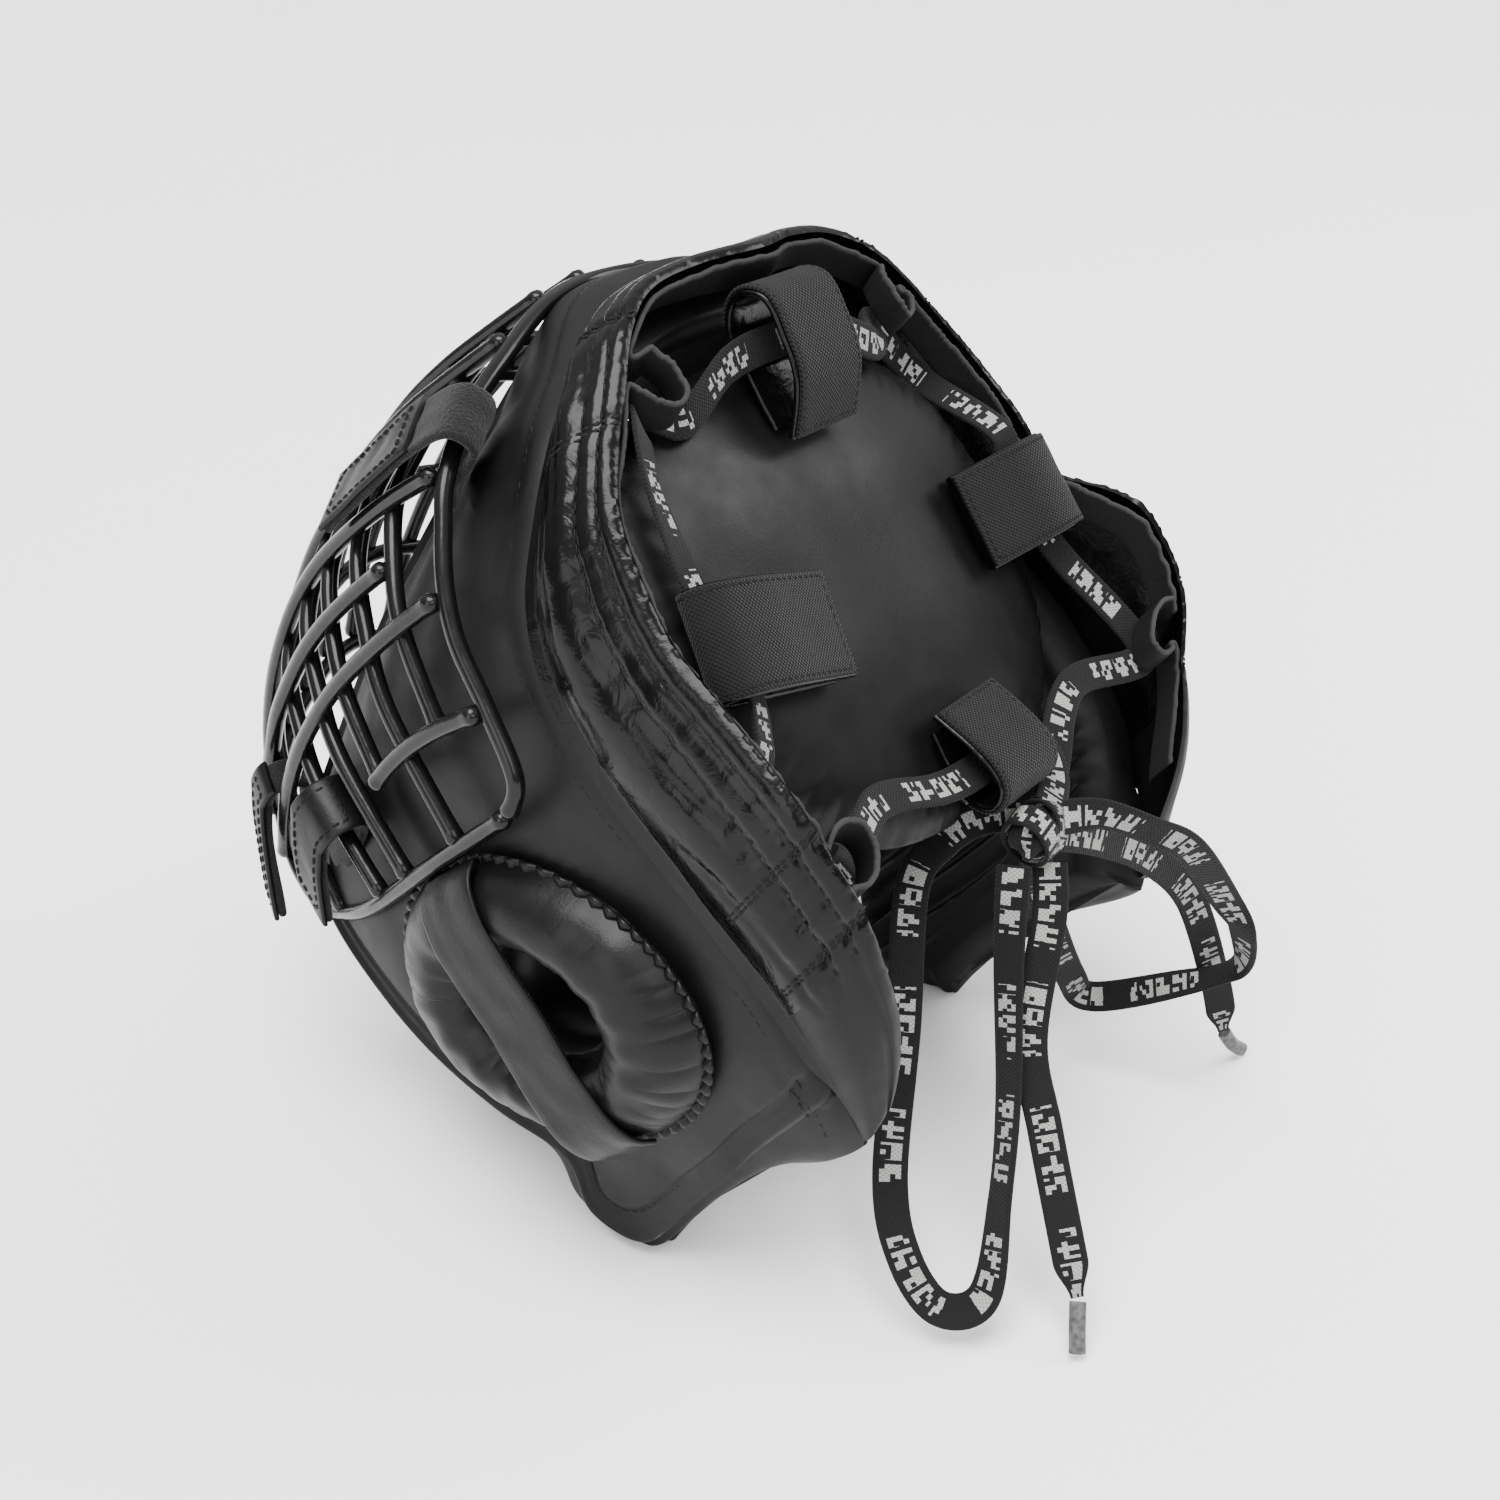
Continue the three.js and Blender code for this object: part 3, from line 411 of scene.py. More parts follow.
    def add_many(self, grids: Array, look: int = 0) -> None:
        """Adds many small alike surfaces at once, without marks for the UV map.

        Args:
            grids: points in millimetres, (number, along, round, 3).
            look: number of the piece's material.
        """
        number, nu, nv = grids.shape[:3]
        faces, _, _, turn = grid_faces(grids[0])
        bases = (np.arange(number) * nu * nv)[:, None] + self.count
        self.points.append(grids.reshape(-1, 3))
        self.corners.append((bases[:, :, None] + faces[None, :, ::turn]).ravel())
        self.sizes.append(np.full(number * len(faces), 4))
        for end in (np.arange(nv)[::turn], (nu - 1) * nv + np.arange(nv)[::-turn]):
            self.corners.append((bases + end).ravel())
            self.sizes.append(np.full(number, nv))
        self.marks.append(np.zeros((number * (len(faces) * 4 + 2 * nv), 2)))
        self.looks.append(np.full(number * (len(faces) + 2), look))
        self.count += number * nu * nv


def put(piece: bpy.types.Object, slot: str, *nodes: str) -> bpy.types.Object:
    """Rides a piece on the body and hides the solids that it stands for.

    Args:
        piece: the finished piece.
        slot: its material slot in the record; not used.
        nodes: solids that it stands for.

    Returns:
        The piece.
    """
    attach(piece, BODY)
    if nodes:
        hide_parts(*nodes)
    LOG.info("%s: %d faces", piece.name, len(piece.data.polygons))
    return piece


# Finishes


def tint(colour: Colour, share: float) -> Colour:
    """A colour made darker or lighter, each part 1 at most."""
    return tuple(min(share * part, 1.0) for part in colour)


class NodeSheet:
    """A material's nodes, made and joined in short calls."""

    def __init__(self, name: str) -> None:
        """Starts a material with its one shader."""
        self.material = bpy.data.materials.new(name)
        self.material.use_nodes = True
        self.nodes = self.material.node_tree.nodes
        self.links = self.material.node_tree.links
        self.shader = self.nodes["Principled BSDF"]

    def set(self, **values: float | tuple[float, ...]) -> None:
        """Sets sockets of the shader that are the same all over; a name's underscores stand for spaces."""
        for name, value in values.items():
            self.shader.inputs[name.replace("_", " ")].default_value = value

    def place(self, kind: str = "Object") -> Socket:
        """Coordinates of the surface: Object in metres, or UV in millimetres."""
        return self.nodes.new("ShaderNodeTexCoord").outputs[kind]

    def noise(self, where: Socket, size_mm: float, detail: float = 2.0, twist: float = 0.0) -> Socket:
        """Cloudy noise.

        Args:
            where: coordinates in metres.
            size_mm: about the clouds' size.
            detail: number of finer layers.
            twist: how far the clouds are drawn out.

        Returns:
            The noise, about 0 to 1.
        """
        node = self.nodes.new("ShaderNodeTexNoise")
        node.inputs["Scale"].default_value = 1 / (size_mm * METRES)
        node.inputs["Detail"].default_value = detail
        node.inputs["Distortion"].default_value = twist
        self.links.new(where, node.inputs["Vector"])
        return node.outputs["Fac"]

    def cells(self, where: Socket, size_mm: float) -> Socket:
        """Distance to the middle of pebbles.

        Args:
            where: coordinates in metres.
            size_mm: about the pebbles' size.

        Returns:
            The distance, in sizes.
        """
        node = self.nodes.new("ShaderNodeTexVoronoi")
        node.inputs["Scale"].default_value = 1 / (size_mm * METRES)
        self.links.new(where, node.inputs["Vector"])
        return node.outputs["Distance"]

    def maths(self, operation: str, *values: Socket | float) -> Socket:
        """One sum on numbers or sockets.

        Args:
            operation: the sum's name in the maths node.
            values: its terms.

        Returns:
            The result.
        """
        node = self.nodes.new("ShaderNodeMath")
        node.operation = operation
        for socket, value in zip(node.inputs, values):
            if isinstance(value, Socket):
                self.links.new(value, socket)
            else:
                socket.default_value = value
        return node.outputs[0]

    def threads(self, along: Socket, across: Socket, warp_mm: float, weft_mm: float) -> Socket:
        """Height of woven threads, which go up and down as the product of two waves.

        Args:
            along: distance along the band in millimetres.
            across: distance across it.
            warp_mm: a thread's width along the band.
            weft_mm: a thread's width across it.

        Returns:
            The height, 0 to 1.
        """
        warp = self.maths("SINE", self.maths("MULTIPLY", along, math.pi / warp_mm))
        weft = self.maths("SINE", self.maths("MULTIPLY", across, math.pi / weft_mm))
        return self.maths("MULTIPLY_ADD", self.maths("MULTIPLY", warp, weft), 0.5, 0.5)

    def split(self, vector: Socket) -> tuple[Socket, Socket]:
        """The first two numbers of a vector."""
        node = self.nodes.new("ShaderNodeSeparateXYZ")
        self.links.new(vector, node.inputs[0])
        return node.outputs[0], node.outputs[1]

    def ramp(self, factor: Socket, low: Colour, high: Colour, start: float = 0.3, end: float = 0.7) -> Socket:
        """A colour that changes with a factor.

        Args:
            factor: what it changes with.
            low: colour up to the start.
            high: colour from the end on.
            start: factor where the change starts.
            end: factor where it ends.

        Returns:
            The colour.
        """
        node = self.nodes.new("ShaderNodeValToRGB")
        for element, at, colour in zip(node.color_ramp.elements, (start, end), (low, high)):
            element.position = at
            element.color = (*colour, 1.0)
        self.links.new(factor, node.inputs[0])
        return node.outputs[0]

    def spread(self, factor: Socket, low: float, high: float) -> Socket:
        """A number that goes from low to high as a factor goes from 0.3 to 0.7.

        Args:
            factor: what it changes with, a noise.
            low: number at the low end.
            high: number at the high end.

        Returns:
            The number.
        """
        node = self.nodes.new("ShaderNodeMapRange")
        for name, value in (("From Min", 0.3), ("From Max", 0.7), ("To Min", low), ("To Max", high)):
            node.inputs[name].default_value = value
        self.links.new(factor, node.inputs[0])
        return node.outputs[0]

    def raise_by(self, height: Socket, depth_mm: float, under: Socket | None = None, strength: float = 1.0) -> Socket:
        """A fine relief.

        Args:
            height: the relief, 0 to 1.
            depth_mm: its depth.
            under: another relief that it lies over.
            strength: share of it that shows.

        Returns:
            The normal.
        """
        node = self.nodes.new("ShaderNodeBump")
        node.inputs["Strength"].default_value = strength
        node.inputs["Distance"].default_value = depth_mm * METRES
        self.links.new(height, node.inputs["Height"])
        if under is not None:
            self.links.new(under, node.inputs["Normal"])
        return node.outputs[0]

    def join(self, source: Socket, name: str) -> None:
        """Joins a socket to one of the shader's."""
        self.links.new(source, self.shader.inputs[name])


@dataclass(frozen=True)
class LeatherFinish:
    """Coated leather: fine pebbled grain, soft creases, and uneven gloss."""

    name: str
    colour: Colour
    roughness: float
    grain_mm: float
    grain_depth_mm: float
    crease_mm: float
    crease_depth_mm: float
    specular: float = 0.16
    cloud_mm: float = 28.0
    patch_mm: float = 9.0

    def material(self) -> bpy.types.Material:
        """Makes the material."""
        sheet = NodeSheet(self.name)
        where = sheet.place()
        cloud = sheet.noise(where, self.cloud_mm, 3.0)
        sheet.join(sheet.ramp(cloud, tint(self.colour, 0.78), tint(self.colour, 1.25)), "Base Color")
        patches = sheet.noise(where, self.patch_mm, 4.0)
        sheet.join(sheet.spread(patches, self.roughness - 0.05, self.roughness + 0.06), "Roughness")
        crease = sheet.raise_by(sheet.noise(where, self.crease_mm, 3.0, 1.1), self.crease_depth_mm, strength=0.5)
        grain = sheet.raise_by(sheet.cells(where, self.grain_mm), self.grain_depth_mm, crease, 0.6)
        sheet.join(grain, "Normal")
        sheet.set(Specular_IOR_Level=self.specular)
        return sheet.material


@dataclass(frozen=True)
class WovenFinish:
    """Woven tape on the band's own UV map, along and across in millimetres."""

    name: str
    colour: Colour
    thread_mm: float
    depth_mm: float
    roughness: float = 0.85
    sheen: float = 0.06

    def material(self) -> bpy.types.Material:
        """Makes the material: painted shade darkens the low threads and a painted highlight lightens the high ones,
        under a thin fuzz.
        """
        sheet = NodeSheet(self.name)
        along, across = sheet.split(sheet.place("UV"))
        height = sheet.threads(along, across, self.thread_mm, self.thread_mm)
        # Painted light: colour follows the threads' height, painted shade on the low threads and painted highlight on
        # the high ones.
        sheet.join(sheet.ramp(height, tint(self.colour, 0.45), tint(self.colour, 1.5), 0.15, 0.9), "Base Color")
        fuzz = sheet.raise_by(sheet.noise(sheet.place(), 0.4, 2.0), 0.08, strength=0.5)
        sheet.join(sheet.raise_by(height, self.depth_mm, fuzz), "Normal")
        sheet.set(Roughness=self.roughness, Specular_IOR_Level=0.12, Sheen_Weight=self.sheen, Sheen_Roughness=0.5)
        return sheet.material


@dataclass(frozen=True)
class LaceFinish:
    """Flat woven lace with two groups of pale blocks strewn in it, again and again.

    The groups are given by the first one's end, and the second one's start and end, in each period.
    """

    name: str = "lace_weave"
    ground: Colour = (0.005, 0.005, 0.005)
    pale: Colour = (0.26, 0.26, 0.25)
    warp_mm: float = 0.55
    weft_mm: float = 0.7
    width_mm: float = 9.2
    period_mm: float = 63.0
    groups_mm: tuple[float, float, float] = (22.0, 31.0, 50.0)
    block_mm: tuple[float, float] = (1.2, 1.4)
    filled: float = 0.62
    stroke_mm: float = 5.4

    def material(self) -> bpy.types.Material:
        """Makes the material: a block shows where its group, its own dice and its height in the band all allow it."""
        sheet = NodeSheet(self.name)
        along, across = sheet.split(sheet.place("UV"))
        height = sheet.threads(along, across, self.warp_mm, self.weft_mm)
        place = sheet.maths("MODULO", along, self.period_mm)
        first, start, end = self.groups_mm
        started, ended = sheet.maths("GREATER_THAN", place, start), sheet.maths("LESS_THAN", place, end)
        second = sheet.maths("MULTIPLY", started, ended)
        group = sheet.maths("ADD", sheet.maths("LESS_THAN", place, first), second)
        cell = sheet.nodes.new("ShaderNodeCombineXYZ")
        for socket, value, size in zip(cell.inputs, (along, across), self.block_mm):
            sheet.links.new(sheet.maths("FLOOR", sheet.maths("DIVIDE", value, size)), socket)
        dice = sheet.nodes.new("ShaderNodeTexWhiteNoise")
        sheet.links.new(cell.outputs[0], dice.inputs["Vector"])
        block = sheet.maths("LESS_THAN", dice.outputs["Value"], self.filled)
        stroke = sheet.maths("LESS_THAN", sheet.maths("MODULO", along, self.stroke_mm), 0.8 * self.stroke_mm)
        middle = sheet.maths("LESS_THAN", sheet.maths("ABSOLUTE", across), 0.3 * self.width_mm)
        shown = sheet.maths("MULTIPLY", group, sheet.maths("MULTIPLY", block, stroke))
        shown = sheet.maths("MULTIPLY", shown, middle)
        shown = sheet.maths("MULTIPLY", shown, sheet.maths("MULTIPLY_ADD", height, 0.55, 0.45))
        sheet.join(sheet.ramp(shown, self.ground, self.pale, 0.05, 0.85), "Base Color")
        fuzz = sheet.raise_by(sheet.noise(sheet.place(), 0.35, 2.0), 0.05, strength=0.5)
        sheet.join(sheet.raise_by(height, 0.18, fuzz), "Normal")
        sheet.set(Roughness=0.82, Specular_IOR_Level=0.12, Sheen_Weight=0.04, Sheen_Roughness=0.5)
        return sheet.material


@dataclass(frozen=True)
class FuzzFinish:
    """Loop tape: a dense short pile, with painted shade in its low spots."""

    name: str
    colour: Colour
    pile_mm: float = 0.7
    depth_mm: float = 0.5

    def material(self) -> bpy.types.Material:
        """Makes the material."""
        sheet = NodeSheet(self.name)
        where = sheet.place()
        pile = sheet.noise(where, self.pile_mm, 4.0, 0.6)
        # Painted light: the pile noise that raises the bump also colours it, painted shade in the low pile and
        # painted highlight on the high pile.
        sheet.join(sheet.ramp(pile, tint(self.colour, 0.4), tint(self.colour, 1.9)), "Base Color")
        sheet.join(sheet.raise_by(pile, self.depth_mm), "Normal")
        sheet.set(Roughness=0.95, Specular_IOR_Level=0.2, Sheen_Weight=0.12, Sheen_Roughness=0.45)
        return sheet.material


@dataclass(frozen=True)
class StripFinish:
    """Lace strip: dark coated cloth, with a painted highlight that makes its top edge a little paler."""

    name: str = "strip_cloth"
    coated: Colour = (0.005, 0.005, 0.0055)
    painted_edge_highlight: Colour = (0.024, 0.025, 0.025)
    height_mm: float = 10.0

    def material(self) -> bpy.types.Material:
        """Makes the material: a painted highlight, paler where the strip's own UV height is near its top."""
        sheet = NodeSheet(self.name)
        _, height = sheet.split(sheet.place("UV"))
        rough = sheet.noise(sheet.place(), 1.2, 3.0)
        edge = sheet.maths("ADD", height, sheet.maths("MULTIPLY", rough, 0.8))
        edge = sheet.maths("DIVIDE", edge, self.height_mm)
        # Painted highlight: the strip's top edge is given the paler colour.
        sheet.join(sheet.ramp(edge, self.coated, self.painted_edge_highlight, 0.9, 0.98), "Base Color")
        sheet.join(sheet.raise_by(sheet.noise(sheet.place(), 0.6, 3.0), 0.2), "Normal")
        sheet.set(Roughness=0.72, Specular_IOR_Level=0.12)
        return sheet.material


@dataclass(frozen=True)
class WireFinish:
    """Dipped gloss coating on the wire, worn through to the metal at one corner."""

    worn_at_m: tuple[float, float, float]
    name: str = "dipped_coating"
    coating: Colour = (0.0035, 0.0035, 0.004)
    bare: Colour = (0.16, 0.09, 0.025)
    worn_reach_mm: float = 3.2

    def material(self) -> bpy.types.Material:
        """Makes the material: bare metal where a cloudy distance from the worn corner is small."""
        sheet = NodeSheet(self.name)
        where = sheet.place()
        gap = sheet.nodes.new("ShaderNodeVectorMath")
        gap.operation = "DISTANCE"
        gap.inputs[1].default_value = self.worn_at_m
        sheet.links.new(where, gap.inputs[0])
        cloud = sheet.maths("MULTIPLY_ADD", sheet.noise(where, 3.0, 3.0), 0.8, 0.6)
        far = sheet.maths("DIVIDE", gap.outputs["Value"], self.worn_reach_mm * METRES)
        far = sheet.maths("MULTIPLY", far, cloud)
        sheet.join(sheet.ramp(far, self.bare, self.coating, 0.5, 0.62), "Base Color")
        sheet.join(sheet.spread(sheet.noise(where, 6.0, 3.0), 0.14, 0.26), "Roughness")
        sheet.join(sheet.raise_by(sheet.noise(where, 5.0, 2.0), 0.25, strength=0.4), "Normal")
        sheet.set(Specular_IOR_Level=0.2)
        return sheet.material


@dataclass(frozen=True)
class PlainFinish:
    """Thread, lace tips and floor: one colour, clouded a little."""

    name: str
    colour: Colour
    roughness: float
    cloud_mm: float
    spread: float
    depth_mm: float

    def material(self) -> bpy.types.Material:
        """Makes the material."""
        sheet = NodeSheet(self.name)
        where = sheet.place()
        cloud = sheet.noise(where, self.cloud_mm, 3.0)
        low, high = (tint(self.colour, share) for share in (1 - self.spread, 1 + self.spread))
        sheet.join(sheet.ramp(cloud, low, high), "Base Color")
        sheet.join(sheet.raise_by(cloud, self.depth_mm), "Normal")
        sheet.set(Roughness=self.roughness, Specular_IOR_Level=0.15)
        return sheet.material


@dataclass
class Finishes:
    """The materials of the headgear, each made once."""

    shell: bpy.types.Material = field(init=False)
    gloss: bpy.types.Material = field(init=False)
    pad: bpy.types.Material = field(init=False)
    strap: bpy.types.Material = field(init=False)
    hook: bpy.types.Material = field(init=False)
    loop: bpy.types.Material = field(init=False)
    lace: bpy.types.Material = field(init=False)
    strip: bpy.types.Material = field(init=False)
    wire: bpy.types.Material = field(init=False)
    thread: bpy.types.Material = field(init=False)
    tip: bpy.types.Material = field(init=False)

    def __post_init__(self) -> None:
        """Makes every material; the leathers by colour, roughness, grain and creases, each with its depth."""
        self.shell = LeatherFinish("matt_leather", (0.0032, 0.0033, 0.0035), 0.46, 0.8, 0.035, 30.0, 0.3).material()
        self.gloss = LeatherFinish("gloss_leather", (0.0015, 0.0015, 0.0016), 0.22, 0.7, 0.03, 7.0, 0.55).material()
        self.pad = LeatherFinish("pad_leather", (0.0032, 0.0033, 0.0035), 0.42, 0.8, 0.03, 40.0, 0.3).material()
        self.strap = LeatherFinish("strap_leather", (0.003, 0.003, 0.0032), 0.38, 0.8, 0.05, 9.0, 0.25).material()
        self.hook = WovenFinish("hook_tape", (0.0042, 0.0042, 0.0045), 0.62, 0.3).material()
        self.loop = FuzzFinish("loop_tape", (0.004, 0.004, 0.004)).material()
        self.lace = LaceFinish().material()
        self.strip = StripFinish().material()
        self.thread = PlainFinish("black_thread", (0.0025, 0.0025, 0.0025), 0.6, 0.4, 0.4, 0.1).material()
        self.tip = PlainFinish("tip_film", (0.07, 0.07, 0.07), 0.35, 1.6, 0.5, 0.1).material()
        corner = stand(GRILLE.point(np.array(6.6), np.array(48.0))) * METRES
        self.wire = WireFinish(tuple(float(x) for x in corner)).material()


# Forms that several pieces share


@dataclass(frozen=True)
class HeadForm:
    """The padded wall's form: a plan scaled by height, with the edges' course given station by station."""

    middle: float = 10.0
    plan: Array = field(default_factory=lambda: np.array([
        # across, ahead
        (0.0, 1.0), (0.3, 0.975), (0.57, 0.89), (0.79, 0.72), (0.93, 0.46),
        (0.99, 0.13), (1.0, -0.22), (0.97, -0.54), (0.9, -0.8), (0.77, -1.05),
    ]))
    levels: Array = field(default_factory=lambda: np.array([
        # up, half width, front, rear
        (-125, 70, 84, -64), (-100, 83, 94, -74), (-70, 92, 103, -85), (-40, 93, 109, -90), (0, 96, 113, -92),
        (40, 97, 114, -91), (70, 96, 112, -88), (100, 87, 106, -78), (125, 72, 97, -60),
    ], float))
    stations: Array = field(default_factory=lambda: np.array([
        # seam plan, seam up, hem plan, hem up, band rise, band lean, wall
        (0.0, 98, 0.0, 50, 27, -10, 16), (0.8, 98, 0.7, 49, 22.5, -5, 16), (1.5, 97, 1.3, 46, 21, -2, 16),
        (2.2, 96, 1.85, 38, 20, -3, 16), (2.9, 92, 2.25, 15, 19, -6, 16), (3.5, 83, 2.4, -20, 22, -7, 16),
        (4.0, 72, 2.5, -55, 28, -7, 17), (4.5, 64, 2.65, -84, 32, -7, 18), (5.0, 60, 3.0, -93, 33, -6, 19),
        (5.5, 58, 3.7, -89, 36, -5, 20), (6.0, 57, 4.5, -85, 38, -3, 20), (6.4, 55, 5.4, -80, 40, -1, 20),
        (6.8, 53, 6.2, -73, 37, -2, 20), (7.2, 50, 6.95, -66, 34, -4, 20), (7.65, 45, 7.6, -77, 31, -4, 20),
        (8.15, 37, 8.2, -73, 27, -4, 20), (8.75, 22, 8.42, -64, 19, -4, 18),
    ], float))
    kinks: tuple[tuple[float, float, float], ...] = ((-9.8, 0.8, 5.5), (-8.3, 0.6, -5.0))
    end_from: float = 15.0
    end_drop: float = 0.6
    right_lean: float = 6.0
    bulge: float = 3.0

    @property
    def last(self) -> int:
        """Number of the rearmost station."""
        return len(self.stations) - 1

    def station(self, t: Array) -> list[Array]:
        """The seven columns of the stations; places on the plan take the side's sign.

        Args:
            t: station numbers, signed by side.

        Returns:
            The columns, each in the shape of t.
        """
        parity = (-1, 1, -1, 1, 1, 1, 1)
        columns = [hermite(self.stations[:, k], np.abs(t), parity[k]) for k in range(7)]
        side = np.where(t < 0, -1.0, 1.0)
        columns[0], columns[2] = columns[0] * side, columns[2] * side
        return columns

    def point(self, plan: Array, up: Array, depth: Array | float = 0.0) -> Array:
        """A point of the cover: the plan at a height, drawn in by a depth.

        Args:
            plan: place on the plan, signed by side.
            up: height above the ears.
            depth: millimetres below the cover.

        Returns:
            Points of (left, forward, up).
        """
        level = np.interp(up, self.levels[:, 0], np.arange(len(self.levels)))
        half, front, rear = (hermite(self.levels[:, k], level) for k in (1, 2, 3))
        across = np.sign(plan) * hermite(self.plan[:, 0], np.abs(plan), -1)
        ahead = hermite(self.plan[:, 1], np.abs(plan), 1)
        reach = np.where(ahead >= 0, front - depth - self.middle, self.middle - rear - depth)
        return np.stack(np.broadcast_arrays((half - depth) * across, self.middle + reach * ahead, up), -1)

    def outward(self, plan: Array, up: Array) -> Array:
        """Level direction out of the cover, square to the plan there."""
        run = self.point(plan + 0.05, up) - self.point(plan - 0.05, up)
        return unit(np.stack([-run[..., 1], run[..., 0], np.zeros_like(run[..., 0])], -1))

    def beside(self, forward: Array, up: Array, proud: Array | float = 0.0) -> Array:
        """The left cover at a place seen from the side.

        Args:
            forward: distance ahead of the ears.
            up: height above the ears.
            proud: how far it is raised.

        Returns:
            Points of (left, forward, up).
        """
        near, far = np.full(np.shape(forward), 3.0), np.full(np.shape(forward), 9.0)
        plan = halve(near, far, lambda middle: self.point(middle, up)[..., 1] > forward, 22)
        return self.point(plan, up, -2.0) + self.outward(plan, up) * np.asarray(proud)[..., None]

    def rim(self, t: Array, share: Array | float, depth: Array | float) -> Array:
        """A point of the crown band.

        Its ends are rounded, and the right side's rim is kinked behind its tab and leans in towards the rear.

        Args:
            t: station numbers, signed by side.
            share: share of the band's height.
            depth: millimetres below its outer face.

        Returns:
            Points of (left, forward, up).
        """
        seam_plan, seam_up, _, _, rise, lean, _ = self.station(t)
        rise = rise + sum(height * ridge(t - at, half) for at, half, height in self.kinks)
        rise = rise * (1 - self.end_drop * np.clip(np.abs(t) - self.end_from, 0, 1) ** 2)
        lean = lean - self.right_lean * step_up((-t - 11.5) / 2.0)
        foot = self.point(seam_plan, seam_up + SEAT_GAP, 1.0)
        proud = lean * share + self.bulge * np.sin(np.pi * np.clip(share, 0, 1)) - depth
        lift = np.zeros(np.broadcast(t, share, depth).shape + (3,))
        lift[..., 2] = rise * share
        return foot + self.outward(seam_plan, seam_up) * np.asarray(proud)[..., None] + lift


@dataclass(frozen=True)
class PadPlane:
    """The crown pad's middle plane, which slopes down to the back."""

    forward: float = 18.0
    up: float = 78.0
    slope: float = math.radians(18.5)

    @property
    def ahead(self) -> Array:
        """Direction to the front in the plane."""
        return np.array([0.0, math.cos(self.slope), math.sin(self.slope)])

    @property
    def out(self) -> Array:
        """Direction out of the crown."""
        return np.array([0.0, -math.sin(self.slope), math.cos(self.slope)])

    def point(self, left: Array, ahead: Array, out: Array) -> Array:
        """A point to the left, ahead and out of the plane's middle."""
        left, ahead, out = (np.asarray(x, float)[..., None] for x in (left, ahead, out))
        middle = np.array([0.0, self.forward, self.up])
        return middle + left * np.array([1.0, 0, 0]) + ahead * self.ahead + out * self.out


@dataclass(frozen=True)
class GrilleForm:
    """The grille's form: a plan scaled by height."""

    middle: float = 25.0
    plan: Array = field(default_factory=lambda: np.array([
        # across, ahead
        (0.0, 1.0), (0.2, 0.97), (0.4, 0.89), (0.6, 0.79), (0.76, 0.68), (0.87, 0.52), (0.95, 0.32), (1.0, -0.02),
    ]))
    levels: Array = field(default_factory=lambda: np.array([
        # up, half width, front
        (-100, 80, 132), (-70, 89, 142), (-40, 98, 148), (0, 104, 150), (40, 106, 142), (85, 105, 127),
    ], float))

    def point(self, plan: Array, up: Array, proud: Array | float = 0.0) -> Array:
        """A point of the grille's surface.

        Args:
            plan: place on the plan, signed by side.
            up: height above the ears.
            proud: how far it is raised.

        Returns:
            Points of (left, forward, up).
        """
        level = np.interp(up, self.levels[:, 0], np.arange(len(self.levels)))
        half, front = (hermite(self.levels[:, k], level) + proud for k in (1, 2))
        across = np.sign(plan) * hermite(self.plan[:, 0], np.abs(plan), -1)
        ahead = hermite(self.plan[:, 1], np.abs(plan), 1)
        return np.stack(np.broadcast_arrays(half * across, self.middle + (front - self.middle) * ahead, up), -1)


FORM = HeadForm()
PAD = PadPlane()
GRILLE = GrilleForm()


